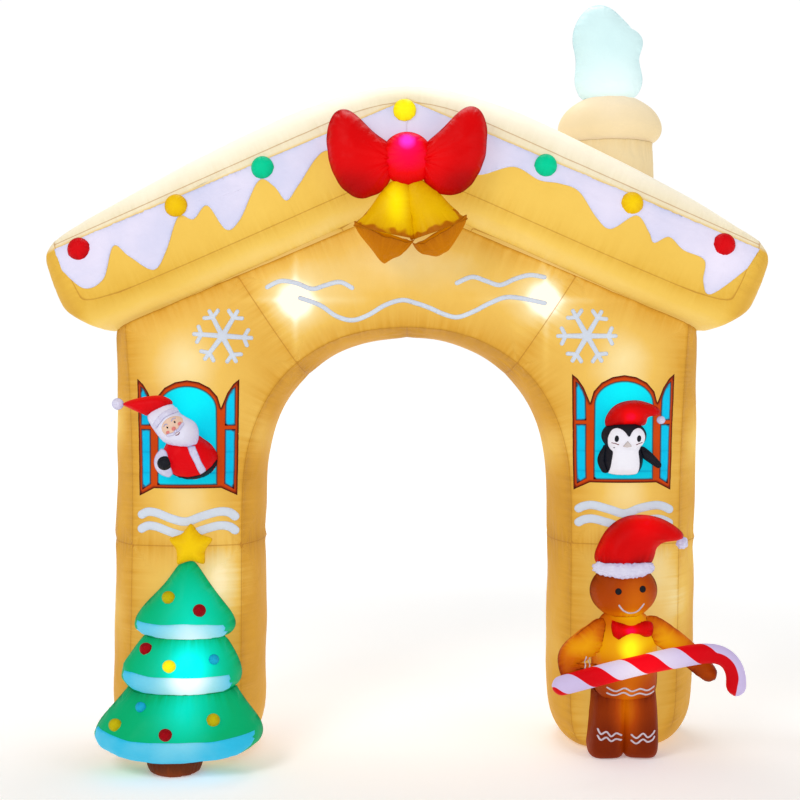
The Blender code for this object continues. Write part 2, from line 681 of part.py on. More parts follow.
def make_penguin(wall, window):
    """A penguin in a red hat leaning out of the right window."""
    y = column_front(0.85, 1.25)
    body_line = ((0.768, 1.215), (0.775, 1.165), (0.795, 1.132), (0.852, 1.128), (0.910, 1.132),
                 (0.930, 1.165), (0.932, 1.215), (0.905, 1.262), (0.795, 1.262))
    body = add_piece("penguin_body", cushion(smooth_loop(body_line, 18),
                     ((0.852, 1.18), (0.852, 1.21)), y, 0.090, 0.03, SMALL_RINGS), "black")
    seat(body, wall, window)
    head = add_piece("penguin_head", cushion(oval((0.852, 1.286), 0.089, 0.062, 18),
                     ((0.83, 1.286), (0.874, 1.286)), y - 0.030, 0.080, 0.055, SMALL_RINGS),
                     "black")
    seat(head, wall, window, body)
    hat_line = ((0.782, 1.322), (0.790, 1.373), (0.812, 1.402), (0.848, 1.419), (0.904, 1.425),
                (0.955, 1.410), (0.984, 1.396), (0.999, 1.366), (0.976, 1.356), (0.953, 1.368),
                (0.934, 1.348), (0.925, 1.322))
    hat = add_piece("penguin_hat", cushion(smooth_loop(hat_line, 18),
                    ((0.845, 1.360), (0.905, 1.385)), y - 0.030, 0.070, 0.055, SMALL_RINGS),
                    "red")
    seat(hat, wall, window, head)
    pompom = ball("penguin_pompom", (0.998, y - 0.028, 1.347), 0.017, "white")
    seat(pompom, wall, window, hat)
    # a wing's path as (x, distance in front of the wall, z)
    right = [(0.925, 0.018, 1.222), (0.958, 0.024, 1.197), (0.988, 0.022, 1.170)]
    left = [(0.790, 0.016, 1.226), (0.768, 0.018, 1.188), (0.782, 0.016, 1.150)]
    for name, path in (("penguin_wing_right", right), ("penguin_wing_left", left)):
        points = [(x, y - out, z) for x, out, z in path]
        wing = add_piece(name, tube(points, (0.021, 0.019, 0.013), 8), "black")
        seat(wing, wall, window, body, head)


# ---------------------------------------------------------------- the tree
TREE_X = -0.872


def tree_front(z):
    """The plane of the tiers' rim seams: the tree stands proud of the column's foot."""
    return column_front(TREE_X, z) - 0.006


def make_tier(name, outline, spine, front, back, points):
    low, high = min(z for _, z in outline), max(z for _, z in outline)

    def fullness(x, z):
        return 1.18 - 0.55 * (z - low) / (high - low)

    shape = cushion(smooth_loop(outline, points), spine, lambda x, z: tree_front(z), front, back,
                    fullness=fullness)
    return add_piece(name, shape, "green")


def make_tree(wall):
    """Three full tiers, each overhanging the next, on a trunk, with a star and nine balls."""
    top = make_tier("tree_top", ((-0.838, 0.800), (-0.793, 0.731), (-0.735, 0.651),
                                 (-0.678, 0.578), (-0.676, 0.524), (-0.745, 0.500),
                                 (-0.865, 0.494), (-0.985, 0.505), (-1.062, 0.535),
                                 (-1.050, 0.588), (-1.003, 0.647), (-0.946, 0.704),
                                 (-0.878, 0.800)),
                    ((-0.865, 0.62), (-0.868, 0.575)), 0.125, 0.060, 22)
    seat(top, wall)
    middle = make_tier("tree_middle", ((-0.760, 0.545), (-0.672, 0.450), (-0.640, 0.350),
                                       (-0.705, 0.296), (-0.865, 0.282), (-1.040, 0.296),
                                       (-1.112, 0.358), (-1.064, 0.455), (-0.970, 0.545)),
                       ((-0.895, 0.405), (-0.850, 0.405)), 0.165, 0.070, 24)
    seat(middle, wall, top)
    bottom = make_tier("tree_bottom", ((-0.720, 0.345), (-0.632, 0.262), (-0.556, 0.160),
                                       (-0.575, 0.105), (-0.690, 0.052), (-0.875, 0.036),
                                       (-1.060, 0.052), (-1.185, 0.095), (-1.212, 0.150),
                                       (-1.120, 0.265), (-1.020, 0.345)),
                       ((-0.950, 0.185), (-0.800, 0.185)), 0.215, 0.080, 26)
    seat(bottom, wall, middle)
    trunk_shape = turned(((0.092, 0.0), (0.104, 0.012), (0.110, 0.035), (0.106, 0.10)),
                         (-0.894, tree_front(0.0) - 0.020, 0.0), sides=18)
    seat(add_piece("tree_trunk", trunk_shape, "brown"), bottom, wall)
    star_line = []
    for i in range(10):
        angle = math.radians(90 + 36 * i)
        reach = 0.088 if i % 2 == 0 else 0.052
        star_line.append((-0.845 + reach * math.cos(angle), 0.855 + reach * math.sin(angle)))
    star_shape = cushion(smooth_loop(star_line, 20), ((-0.845, 0.855),) * 2,
                         tree_front(0.85) - 0.020, 0.045, 0.045, SMALL_RINGS)
    seat(add_piece("tree_star", star_shape, "yellow"), top, wall)
    # x, z, colour, the tier it is sewn to
    ornaments = ((-0.919, 0.670, "yellow", top), (-0.797, 0.624, "red", top),
                 (-1.003, 0.474, "red", middle), (-0.904, 0.421, "yellow", middle),
                 (-0.739, 0.440, "blue", middle), (-1.011, 0.268, "blue", bottom),
                 (-1.105, 0.203, "yellow", bottom), (-0.906, 0.180, "red", bottom),
                 (-0.732, 0.228, "yellow", bottom))
    for number, (x, z, colour, tier) in enumerate(ornaments, start=1):
        bauble = ball(f"tree_ball_{number}", (x, front_of(tier, x, z) - 0.010, z), 0.026, colour)
        seat(bauble, tier, *(other for other in (top, middle, bottom) if other is not tier))


# ---------------------------------------------------------------- the gingerbread man
MAN_X = 0.862


def man_front(z):
    return column_front(MAN_X, z) - 0.004


def make_man(wall):
    """A gingerbread man in a red hat, holding a candy cane across his body."""
    # the cane's middle line as (x, z)
    cane_line = ((0.600, 0.328), (0.733, 0.364), (0.847, 0.393), (0.950, 0.415), (1.060, 0.436),
                 (1.142, 0.451), (1.205, 0.449), (1.249, 0.420), (1.271, 0.372), (1.270, 0.330))
    cane_y = man_front(0.4) - 0.165
    cane = add_piece("candy_cane", tube([(x, cane_y, z) for x, z in cane_line],
                     (0.040,) * len(cane_line), 10), "red")
    torso_line = ((0.740, 0.268), (0.733, 0.360), (0.738, 0.480), (0.762, 0.562), (0.800, 0.590),
                  (0.925, 0.590), (0.960, 0.562), (0.988, 0.480), (0.996, 0.360), (0.988, 0.268),
                  (0.930, 0.262), (0.800, 0.262))
    torso = add_piece("man_body", cushion(smooth_loop(torso_line, 20),
                      ((MAN_X, 0.36), (MAN_X, 0.48)), lambda x, z: man_front(z), 0.145, 0.04),
                      "brown")
    seat(torso, wall, cane)
    for name, side in (("man_leg_left", -1), ("man_leg_right", 1)):
        rows = []
        # height, outer edge and inner edge from the middle, reach to the front
        for z, outer, inner, reach in ((0.0, 0.125, 0.012, 0.070), (0.012, 0.136, 0.004, 0.084),
                                       (0.045, 0.141, 0.001, 0.094), (0.120, 0.137, 0.001, 0.102),
                                       (0.200, 0.133, 0.001, 0.100), (0.262, 0.128, 0.001, 0.088),
                                       (0.300, 0.120, 0.004, 0.060)):
            ring = []
            for k in range(12):
                angle = math.tau * k / 12
                u, v = math.cos(angle), math.sin(angle)
                across = (outer + inner) / 2 + (outer - inner) / 2 * math.copysign(abs(u) ** 0.7, u)
                depth = reach * math.copysign(abs(v) ** 0.8, v)
                ring.append((MAN_X + side * across, man_front(z) - depth + 0.010, z))
            rows.append(ring)
        seat(add_piece(name, loft(rows), "brown"), wall, torso)
    head = add_piece("man_head", cushion(oval((MAN_X - 0.006, 0.672), 0.134, 0.109, 20),
                     ((MAN_X - 0.03, 0.672), (MAN_X + 0.02, 0.672)), man_front(0.67) - 0.015,
                     0.120, 0.060), "brown")
    seat(head, wall, torso)
    # the brim is a thick roll that sags in the middle
    roll = []
    for t in (-1.0, -0.66, -0.33, 0.0, 0.33, 0.66, 1.0):
        roll.append((MAN_X - 0.014 + 0.098 * t,
                     man_front(0.77) - 0.030 - 0.080 * math.sqrt(max(0.0, 1 - 0.85 * t * t)),
                     0.764 + 0.006 * t * t))
    brim = add_piece("man_brim", tube(roll, (0.024, 0.027, 0.028, 0.029, 0.028, 0.027, 0.024), 8),
                     "white")
    seat(brim, head, wall)
    hat_line = ((-0.113, 0.775), (-0.098, 0.869), (-0.061, 0.927), (-0.007, 0.963), (0.060, 0.972),
                (0.128, 0.960), (0.188, 0.927), (0.230, 0.884), (0.195, 0.870), (0.142, 0.869),
                (0.106, 0.838), (0.092, 0.775))
    hat = add_piece("man_hat", cushion(smooth_loop([(MAN_X + x, z) for x, z in hat_line], 22),
                    ((MAN_X - 0.02, 0.84), (MAN_X + 0.06, 0.90)), man_front(0.87) - 0.015, 0.110,
                    0.060), "red")
    seat(hat, wall, head, brim)
    pompom = ball("man_pompom", (MAN_X + 0.221, man_front(0.86) - 0.030, 0.862), 0.024, "white")
    seat(pompom, wall, hat)
    tie_line = ((-0.080, 0.566), (-0.045, 0.558), (0.0, 0.548), (0.045, 0.562), (0.080, 0.566),
                (0.083, 0.520), (0.066, 0.500), (0.0, 0.520), (-0.052, 0.492), (-0.074, 0.510))
    tie = add_piece("man_bow_tie", cushion(smooth_loop([(MAN_X + 0.012 + x, z + 0.002)
                                                        for x, z in tie_line], 16),
                    ((MAN_X - 0.03, 0.533), (MAN_X + 0.055, 0.536)), man_front(0.53) - 0.120,
                    0.028, 0.060, SMALL_RINGS), "red")
    seat(tie, torso, head)
    # an arm's path as (x from the middle, distance in front of the wall, z) with its radius
    arms = (("man_arm_left", ((-0.095, 0.040, 0.520, 0.048), (-0.165, 0.060, 0.470, 0.050),
                              (-0.235, 0.085, 0.418, 0.044), (-0.225, 0.110, 0.372, 0.042),
                              (-0.165, 0.130, 0.366, 0.040))),
            ("man_arm_right", ((0.105, 0.040, 0.528, 0.050), (0.175, 0.055, 0.484, 0.052),
                               (0.245, 0.080, 0.430, 0.046), (0.290, 0.105, 0.385, 0.044),
                               (0.310, 0.120, 0.366, 0.036))))
    for name, rows in arms:
        path = [(MAN_X + x, man_front(z) - out, z) for x, out, z, _ in rows]
        arm = add_piece(name, tube(path, [row[3] for row in rows], 10), "brown")
        seat(arm, wall, cane, torso, head, tie)


# ---------------------------------------------------------------- the whole arch
def main():
    clear_scene()
    wall = make_wall()
    roof = make_roof()
    icings = make_icing(roof)
    candies = make_candies(roof, icings)
    _, cap = make_chimney(roof)
    make_smoke(cap)
    knot, loops = make_bow(roof, icings, candies)
    make_bells(wall, roof, knot, loops)
    window_left, window_right = make_windows(wall)
    make_santa(wall, window_left)
    make_penguin(wall, window_right)
    make_tree(wall)
    make_man(wall)
    for piece in bpy.context.scene.objects:
        piece.location.y = SET_BACK


main()
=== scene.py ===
"""Inflatable gingerbread-house arch, lit from inside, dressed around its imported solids.

Two columns and a gable carry a thick iced roof with a bow, bells and a chimney.  A figure leans
out of each window, a fir tree stands at the left foot and a gingerbread man at the right one.
Metres.  +X is to the right, the front faces -Y and +Z is up.
"""
import math

import bmesh
import bpy
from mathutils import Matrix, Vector, geometry, noise
from mathutils.bvhtree import BVHTree
from mathutils.kdtree import KDTree


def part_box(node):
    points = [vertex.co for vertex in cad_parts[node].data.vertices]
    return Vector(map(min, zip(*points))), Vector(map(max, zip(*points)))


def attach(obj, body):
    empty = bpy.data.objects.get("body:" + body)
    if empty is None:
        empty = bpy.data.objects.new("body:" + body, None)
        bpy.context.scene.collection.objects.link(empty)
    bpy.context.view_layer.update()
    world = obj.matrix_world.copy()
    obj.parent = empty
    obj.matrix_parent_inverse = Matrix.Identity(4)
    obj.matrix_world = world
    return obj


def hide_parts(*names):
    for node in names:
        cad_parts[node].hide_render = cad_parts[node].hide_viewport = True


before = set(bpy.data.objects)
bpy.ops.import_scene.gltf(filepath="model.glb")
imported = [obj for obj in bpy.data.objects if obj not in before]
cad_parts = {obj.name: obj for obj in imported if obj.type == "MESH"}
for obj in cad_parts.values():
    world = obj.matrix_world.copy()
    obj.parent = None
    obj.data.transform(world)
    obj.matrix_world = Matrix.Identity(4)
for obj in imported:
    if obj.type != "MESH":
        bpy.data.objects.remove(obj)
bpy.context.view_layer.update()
bpy.context.scene.view_settings.view_transform = "Standard"


# ---------------------------------------------------------------- the arch
# Two columns and the gable are one bag of thin coated cloth, cut from front, back and gusset
# panels.  They are sewn edge to edge inside out, so each seam draws the cloth into pleats, and
# small lamps inside show through as warm pools of light.
SLOPE = math.radians(23)
GABLE_TOP_Z = 2.203
COLUMN_SEAM_Z = 0.85
OUTER_SEAM_X = (1.03, 1.13)        # where the front panel meets the outer gusset
OUTER_SEAM_FOOT = 0.08
FRONT_SEAM_Y = -0.144
FAN_SEAM = ((0.439, 1.567), (0.674, 1.917))  # from the opening up to the gable's foot
FAN_BOTTOM_Z = 1.49
FAN_OUTER_X = 0.70
PANEL_TURN = 31.5                  # degrees: the cloth turns more than this over a panel's seam
SKIN_LEVELS = 3
WELD = 0.00005


def seam_over(degrees):
    """A test for a seam: the cloth turns by more than this across the edge."""
    limit = math.radians(degrees)
    return lambda edge: edge.is_manifold and edge.calc_face_angle(0.0) > limit


def finish_mesh(piece):
    """Makes the modifiers' result the piece's own mesh, shaded smooth."""
    graph = bpy.context.evaluated_depsgraph_get()
    mesh = bpy.data.meshes.new_from_object(piece.evaluated_get(graph))
    piece.modifiers.clear()
    piece.data = mesh
    for leftover in ("custom_normal", "sharp_face", "sharp_edge"):
        if leftover in mesh.attributes:
            mesh.attributes.remove(mesh.attributes[leftover])
    mesh.shade_smooth()


def smooth_skin(node, is_seam, hold=0.8):
    """A fine copy of a CAD solid's skin that takes its place, its seams kept crisp and marked."""
    shape = bmesh.new()
    shape.from_mesh(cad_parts[node].data)
    bmesh.ops.remove_doubles(shape, verts=shape.verts, dist=WELD)
    bmesh.ops.join_triangles(shape, faces=shape.faces, angle_face_threshold=math.radians(40),
                             angle_shape_threshold=math.radians(80))
    sewn = shape.edges.layers.float.new("sewn")
    layers = shape.edges.layers.float
    crease = layers.get("crease_edge") or layers.new("crease_edge")
    for edge in shape.edges:
        if is_seam(edge):
            edge[sewn] = 1.0
            edge[crease] = hold
    mesh = bpy.data.meshes.new(node)
    shape.to_mesh(mesh)
    shape.free()
    piece = bpy.data.objects.new(node + "_skin", mesh)
    bpy.context.scene.collection.objects.link(piece)
    smoothing = piece.modifiers.new("smoothing", "SUBSURF")
    smoothing.levels = smoothing.render_levels = SKIN_LEVELS
    finish_mesh(piece)
    stretch_to_solid(piece, node)
    measure_seams(piece)
    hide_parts(node)
    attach(piece, "root")
    return piece


def stretch_to_solid(piece, node):
    """Smoothing draws a shape in a little, so it is stretched back to its solid's box."""
    low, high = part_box(node)
    vertices = piece.data.vertices
    for axis in range(3):
        here = [vertex.co[axis] for vertex in vertices]
        start, size = min(here), max(here) - min(here)
        for vertex in vertices:
            share = (vertex.co[axis] - start) / size
            vertex.co[axis] = low[axis] + (high[axis] - low[axis]) * share


def measure_seams(piece):
    """Gives each vertex its distance to the nearest seam and the nearest place on it."""
    mesh = piece.data
    marks = mesh.attributes["sewn"].data
    corners = [vertex.co.copy() for vertex in mesh.vertices]
    seams = [tuple(edge.vertices) for edge, mark in zip(mesh.edges, marks) if mark.value > 0.5]
    middles = KDTree(len(seams))
    for number, (a, b) in enumerate(seams):
        middles.insert((corners[a] + corners[b]) / 2, number)
    middles.balance()
    gaps, places = [], []
    for corner in corners:
        nearest, gap = corner, 1.0
        for _, seam, _ in middles.find_n(corner, 4):
            a, b = (corners[k] for k in seams[seam])
            _, t = geometry.intersect_point_line(corner, a, b)
            spot = a.lerp(b, min(1.0, max(0.0, t)))
            if (spot - corner).length < gap:
                nearest, gap = spot, (spot - corner).length
        gaps.append(gap)
        places.extend(nearest)
    mesh.attributes.new("seam_distance", "FLOAT", "POINT").data.foreach_set("value", gaps)
    mesh.attributes.new("seam_place", "FLOAT_VECTOR", "POINT").data.foreach_set("vector", places)


def pucker(piece, depth, pitch, reach, slack=0.0):
    """Pleats the cloth beside its seams, square to them, and lets it billow a little."""
    mesh = piece.data
    distance = mesh.attributes["seam_distance"].data
    place = mesh.attributes["seam_place"].data
    moves = []
    for number, vertex in enumerate(mesh.vertices):
        gap = distance[number].value / reach
        spot = Vector(place[number].vector) / pitch
        pleat = 0.65 * noise.noise(spot) + 0.35 * noise.noise(spot * 2.6 + Vector((7, 3, 5)))
        lift = depth * gap * math.exp(1 - gap) * (pleat - 0.25)
        lift += slack * noise.noise(vertex.co * 5.0) * min(1.0, gap)
        moves.append(vertex.normal * lift)
    for vertex, move in zip(mesh.vertices, moves):
        vertex.co += move
        vertex.co.z = max(0.0, vertex.co.z)


def mark(piece, name, value_at):
    """Gives each vertex a number that its material reads."""
    values = [value_at(vertex) for vertex in piece.data.vertices]
    piece.data.attributes.new(name, "FLOAT", "POINT").data.foreach_set("value", values)


def join(tree, value, socket):
    """Links a socket to another one, or gives it a plain value."""
    if isinstance(value, bpy.types.NodeSocket):
        tree.links.new(value, socket)
    else:
        socket.default_value = value


def add(tree, kind, inputs=(), **settings):
    """A shader node with its settings made and its inputs joined."""
    made = tree.nodes.new(kind)
    for name, value in settings.items():
        setattr(made, name, value)
    for name, value in dict(inputs).items():
        join(tree, value, made.inputs[name])
    return made


def maths(tree, operation, *values):
    """The result of one sum on sockets and numbers."""
    return add(tree, "ShaderNodeMath", enumerate(values), operation=operation).outputs[0]


def mix(tree, share, first, second):
    """The first colour going over to the second."""
    made = add(tree, "ShaderNodeMix", data_type="RGBA")
    join(tree, share, made.inputs["Factor"])
    join(tree, first, made.inputs[6])
    join(tree, second, made.inputs[7])
    return made.outputs[2]


def new_group(name, inputs, outputs):
    """An empty node group with its sockets named."""
    tree = bpy.data.node_groups.new(name, "ShaderNodeTree")
    for label, kind in inputs:
        tree.interface.new_socket(label, in_out="INPUT", socket_type="NodeSocket" + kind)
    for label, kind in outputs:
        tree.interface.new_socket(label, in_out="OUTPUT", socket_type="NodeSocket" + kind)
    return tree, tree.nodes.new("NodeGroupInput").outputs, tree.nodes.new("NodeGroupOutput").inputs


def make_lamp_group():
    """The soft pool of light that one lamp inside the bag throws on the cloth."""
    tree, given, result = new_group(
        "inner lamp",
        (("Place", "Vector"), ("Centre", "Vector"), ("Reach", "Vector"), ("Strength", "Float")),
        (("Glow", "Float"),))
    away = add(tree, "ShaderNodeVectorMath", {0: given["Place"], 1: given["Centre"]},
               operation="SUBTRACT").outputs[0]
    share = add(tree, "ShaderNodeVectorMath", {0: away, 1: given["Reach"]},
                operation="DIVIDE").outputs[0]
    square = add(tree, "ShaderNodeVectorMath", {0: share, 1: share},
                 operation="DOT_PRODUCT").outputs["Value"]
    fall = maths(tree, "EXPONENT", maths(tree, "MULTIPLY", square, -1.0))
    tree.links.new(maths(tree, "MULTIPLY", fall, given["Strength"]), result["Glow"])
    return tree


def make_cloth_group():
    """Weave, slack, pleats and the seam's stitched line on a skin whose seams are measured."""
    tree, given, result = new_group(
        "sewn cloth",
        (("Place", "Vector"), ("Seam Place", "Vector"), ("Seam Distance", "Float"),
         ("Pleat Pitch", "Float"), ("Pleat Reach", "Float"), ("Seam Width", "Float")),
        (("Height", "Float"), ("Line", "Float"), ("Shade", "Float"), ("Mottle", "Float")))
    spot = add(tree, "ShaderNodeVectorMath",
               {0: given["Seam Place"], "Scale": maths(tree, "DIVIDE", 1.0, given["Pleat Pitch"])},
               operation="SCALE").outputs[0]
    pleat = add(tree, "ShaderNodeTexNoise", {"Vector": spot, "Scale": 1.0, "Detail": 2.0})
    fold = maths(tree, "SUBTRACT", pleat.outputs[0], 0.5)
    fall = maths(tree, "EXPONENT", maths(tree, "MULTIPLY", -1.0, maths(
        tree, "DIVIDE", given["Seam Distance"], given["Pleat Reach"])))
    line = add(tree, "ShaderNodeMapRange",
               {"Value": given["Seam Distance"], "From Min": 0.0, "From Max": given["Seam Width"],
                "To Min": 1.0, "To Max": 0.0}, interpolation_type="SMOOTHSTEP").outputs[0]
    slack = add(tree, "ShaderNodeTexNoise",
                {"Vector": given["Place"], "Scale": 11.0, "Detail": 2.0, "Distortion": 0.4})
    crease = add(tree, "ShaderNodeTexNoise",
                 {"Vector": given["Place"], "Scale": 42.0, "Detail": 1.0, "Distortion": 1.2})
    threads = [add(tree, "ShaderNodeTexWave", {"Vector": given["Place"], "Scale": 190.0},
                   wave_type="BANDS", bands_direction=way).outputs["Fac"] for way in ("X", "Z")]
    # how high each relief stands, in metres
    parts = ((slack.outputs[0], 0.008), (crease.outputs[0], 0.0009), (threads[0], 0.00006),
             (threads[1], 0.00006), (line, -0.0012))
    height = maths(tree, "MULTIPLY", maths(tree, "MULTIPLY", fold, fall), 0.008)
    for socket, amount in parts:
        height = maths(tree, "MULTIPLY_ADD", socket, amount, height)
    # painted shade beside the seams, deeper in the pleats' folds
    shade = maths(tree, "MULTIPLY", fall, maths(tree, "MULTIPLY_ADD", fold, 1.6, 0.8))
    mottle = add(tree, "ShaderNodeTexNoise",
                 {"Vector": given["Place"], "Scale": 4.5, "Detail": 3.0})
    for socket, label in ((height, "Height"), (line, "Line"), (shade, "Shade"),
                          (mottle.outputs[0], "Mottle")):
        tree.links.new(socket, result[label])
    return tree


lamp_group = make_lamp_group()
cloth_group = make_cloth_group()


def lit_cloth(name, base, glows, lamps_and_shades=(), level=0.45, mottle=0.35, seam_shade=0.45,
              pleat_pitch=0.016, pleat_reach=0.030, seam_width=0.0035, seam_dark=0.6,
              thread=None, second=None, painted_light=None):
    """Coated cloth with lamps behind it.

    base is the cloth's own colour and glows is what the light inside makes of it, from dim over
    middling to bright.  second is an attribute that changes the cloth over where it passes
    zero, with that cloth's base and glows.  The last argument names an attribute of painted light
    and shade that is added to the glow.
    thread is the colour of the seam's line where it isn't the dim cloth's.
    """
    material = bpy.data.materials.new(name)
    material.use_nodes = True
    tree = material.node_tree
    shader = tree.nodes["Principled BSDF"]
    place = add(tree, "ShaderNodeTexCoord").outputs["Object"]
    seam_place = add(tree, "ShaderNodeAttribute", attribute_name="seam_place").outputs["Vector"]
    seam_distance = add(tree, "ShaderNodeAttribute",
                        attribute_name="seam_distance").outputs["Fac"]
    cloth = add(tree, "ShaderNodeGroup", node_tree=cloth_group)
    for label, value in (("Place", place), ("Seam Place", seam_place),
                         ("Seam Distance", seam_distance), ("Pleat Pitch", pleat_pitch),
                         ("Pleat Reach", pleat_reach), ("Seam Width", seam_width)):
        join(tree, value, cloth.inputs[label])
    glow = maths(tree, "MULTIPLY_ADD", cloth.outputs["Mottle"], mottle, level - mottle / 2)
    # each lamp paints a pool of light on the cloth; one of negative strength paints shade
    for centre, reach, strength in lamps_and_shades:
        lamp = add(tree, "ShaderNodeGroup", node_tree=lamp_group)
        for label, value in (("Place", place), ("Centre", centre), ("Reach", reach),
                             ("Strength", strength)):
            join(tree, value, lamp.inputs[label])
        glow = maths(tree, "ADD", glow, lamp.outputs[0])
    if painted_light:
        extra = add(tree, "ShaderNodeAttribute", attribute_name=painted_light).outputs["Fac"]
        glow = maths(tree, "ADD", glow, extra)
    glow = maths(tree, "MULTIPLY_ADD", cloth.outputs["Shade"], -seam_shade, glow)
    colour, light = ramp_pair(tree, base, glows, glow)
    if second:
        attribute, other_base, other_glows = second
        side = add(tree, "ShaderNodeAttribute", attribute_name=attribute).outputs["Fac"]
        share = add(tree, "ShaderNodeMapRange", {"Value": side, "From Min": -0.03,
                                                 "From Max": 0.03}).outputs[0]
        other_colour, other_light = ramp_pair(tree, other_base, other_glows, glow)
        colour = mix(tree, share, colour, other_colour)
        light = mix(tree, share, light, other_light)
    dark = maths(tree, "MULTIPLY", cloth.outputs["Line"], seam_dark)
    thread = thread or tuple(0.45 * channel for channel in glows[0])
    tree.links.new(mix(tree, dark, colour, (*thread, 1)), shader.inputs["Base Color"])
    tree.links.new(mix(tree, dark, light, (*thread, 1)), shader.inputs["Emission Color"])
    shader.inputs["Emission Strength"].default_value = 1.0
    shader.inputs["Specular IOR Level"].default_value = 0.07
    shader.inputs["Roughness"].default_value = 0.5
    bump = add(tree, "ShaderNodeBump", {"Height": cloth.outputs["Height"], "Strength": 0.8,
                                        "Distance": 1.0})
    tree.links.new(bump.outputs[0], shader.inputs["Normal"])
    return material


def ramp_pair(tree, base, glows, glow):
    """The cloth's own colour with painted shade where it is dim, and the light that comes through
    it.
    """
    light = add(tree, "ShaderNodeValToRGB", {"Fac": glow})
    stops = light.color_ramp.elements
    stops[0].color = (*glows[0], 1)
    stops[1].color = (*glows[-1], 1)
    for number, colour in enumerate(glows[1:-1], start=1):
        stops.new(number / (len(glows) - 1)).color = (*colour, 1)
    shaded_base = tuple(channel * 0.72 for channel in base)
    colour = mix(tree, glow, (*shaded_base, 1), (*base, 1))
    return colour, light.outputs[0]


def dress(piece, material):
    """Puts one material on a piece in place of any other."""
    piece.data.materials.clear()
    piece.data.materials.append(material)


def on_arch_seam(edge):
    """The arch's seams: the panels' edges, across each column, up to the eaves, the crown."""
    (x0, y0, z0), (x1, y1, z1) = (vertex.co for vertex in edge.verts)
    x0, x1 = abs(x0), abs(x1)
    low, high = OUTER_SEAM_X
    across_column = abs(z0 - COLUMN_SEAM_Z) + abs(z1 - COLUMN_SEAM_Z) < 0.002
    outer = all(low < x < high for x in (x0, x1)) and min(z0, z1) > OUTER_SEAM_FOOT
    crown = x0 + x1 < 0.002 and min(y0, y1) > FRONT_SEAM_Y - 0.002
    (ax, az), (bx, bz) = FAN_SEAM
    reach = (bx - ax) ** 2 + (bz - az) ** 2
    offsets = [abs((x - ax) * (bz - az) - (z - az) * (bx - ax)) / math.sqrt(reach)
               for x, z in ((x0, z0), (x1, z1))]
    fan = max(offsets) < 0.012 and min(z0, z1) > FAN_BOTTOM_Z and max(x0, x1) < FAN_OUTER_X
    return across_column or outer or crown or fan or seam_over(PANEL_TURN)(edge)


wall = smooth_skin("wall", on_arch_seam, hold=0.75)
pucker(wall, depth=0.010, pitch=0.030, reach=0.030, slack=0.006)
WALL_GLOWS = ((0.24, 0.100, 0.007), (0.38, 0.19, 0.020), (0.50, 0.345, 0.085),
              (0.57, 0.55, 0.32), (0.95, 0.95, 0.85))
GOLD_THREAD = (0.24, 0.10, 0.012)
wall_lamps = [  # each lamp's centre, its reach and its strength
    ((0.0, -0.20, 1.97), (0.35, 0.30, 0.16), 0.20),
    ((-0.88, -0.20, 1.57), (0.12, 0.30, 0.11), 0.24),
    ((0.85, -0.20, 1.57), (0.12, 0.30, 0.11), 0.22),
    ((-0.86, -0.20, 1.03), (0.09, 0.30, 0.10), 0.14),
    ((-0.73, -0.20, 0.72), (0.09, 0.30, 0.17), 0.42),
    ((1.01, -0.20, 0.74), (0.09, 0.30, 0.22), 0.26),
    ((0.86, -0.20, 1.04), (0.09, 0.30, 0.09), 0.16),
    # lamps low in the columns, seen through the gussets on both sides
    ((-1.19, 0.10, 1.33), (0.07, 0.50, 0.11), 0.40),
    ((-0.60, 0.10, 1.29), (0.06, 0.50, 0.10), 0.30),
    ((0.60, 0.10, 1.25), (0.06, 0.50, 0.10), 0.30),
    ((1.19, 0.10, 1.25), (0.07, 0.50, 0.11), 0.30),
    ((-1.19, 0.10, 0.58), (0.07, 0.50, 0.12), 0.22),
    ((1.19, 0.10, 0.80), (0.06, 0.50, 0.12), 0.26),
    ((1.09, 0.10, 0.60), (0.06, 0.50, 0.14), 0.42),
    ((0.60, 0.10, 0.42), (0.05, 0.50, 0.16), 0.16),
    # the bands that run down the middle of the panels
    ((-0.87, -0.20, 1.20), (0.11, 0.30, 0.90), 0.09),
    ((0.87, -0.20, 1.20), (0.11, 0.30, 0.90), 0.09),
]
# two bright lamps close behind the front, each a core, a halo and painted starburst streaks of
# glare
BRIGHT_LAMPS_X = (-0.442, 0.549)
BRIGHT_LAMPS_Z = 1.819
for x in BRIGHT_LAMPS_X:
    for across, up, strength in ((0.060, 0.060, 0.80), (0.16, 0.15, 0.32), (0.014, 0.24, 0.16),
                                 (0.22, 0.014, 0.14)):
        wall_lamps.append(((x, -0.20, BRIGHT_LAMPS_Z), (across, 0.30, up), strength))
# painted shade: the gussets face away from the lamps and their glow is made dimmer
GUSSET_DIM = 0.22
mark(wall, "gusset_shade", lambda vertex: -GUSSET_DIM * min(1.0, 1.6 * (1.0 - abs(vertex.normal.y))))
dress(wall, lit_cloth("gold cloth", (0.41, 0.215, 0.028), WALL_GLOWS, wall_lamps, level=0.44,
                      mottle=0.26, seam_shade=0.24, pleat_reach=0.055, seam_dark=0.7,
                      thread=GOLD_THREAD, painted_light="gusset_shade"))


# ---------------------------------------------------------------- the roof
# One thick bag of cream cloth laid over the gable, its fascia and soffit sewn to the top panel.
# A rounded panel closes each end.
ROOF_TOP_SEAM_H = 0.365            # above the joint with the wall, square to the slope
ROOF_LOW_SEAM_H = 0.098
ROOF_END_S = 1.335                 # down the slope from the ridge


def roof_place(point):
    """How far down the slope and how far above the joint a place is."""
    x, _, z = point
    down = abs(x) * math.cos(SLOPE) - (z - GABLE_TOP_Z) * math.sin(SLOPE)
    above = abs(x) * math.sin(SLOPE) + (z - GABLE_TOP_Z) * math.cos(SLOPE)
    return down, above


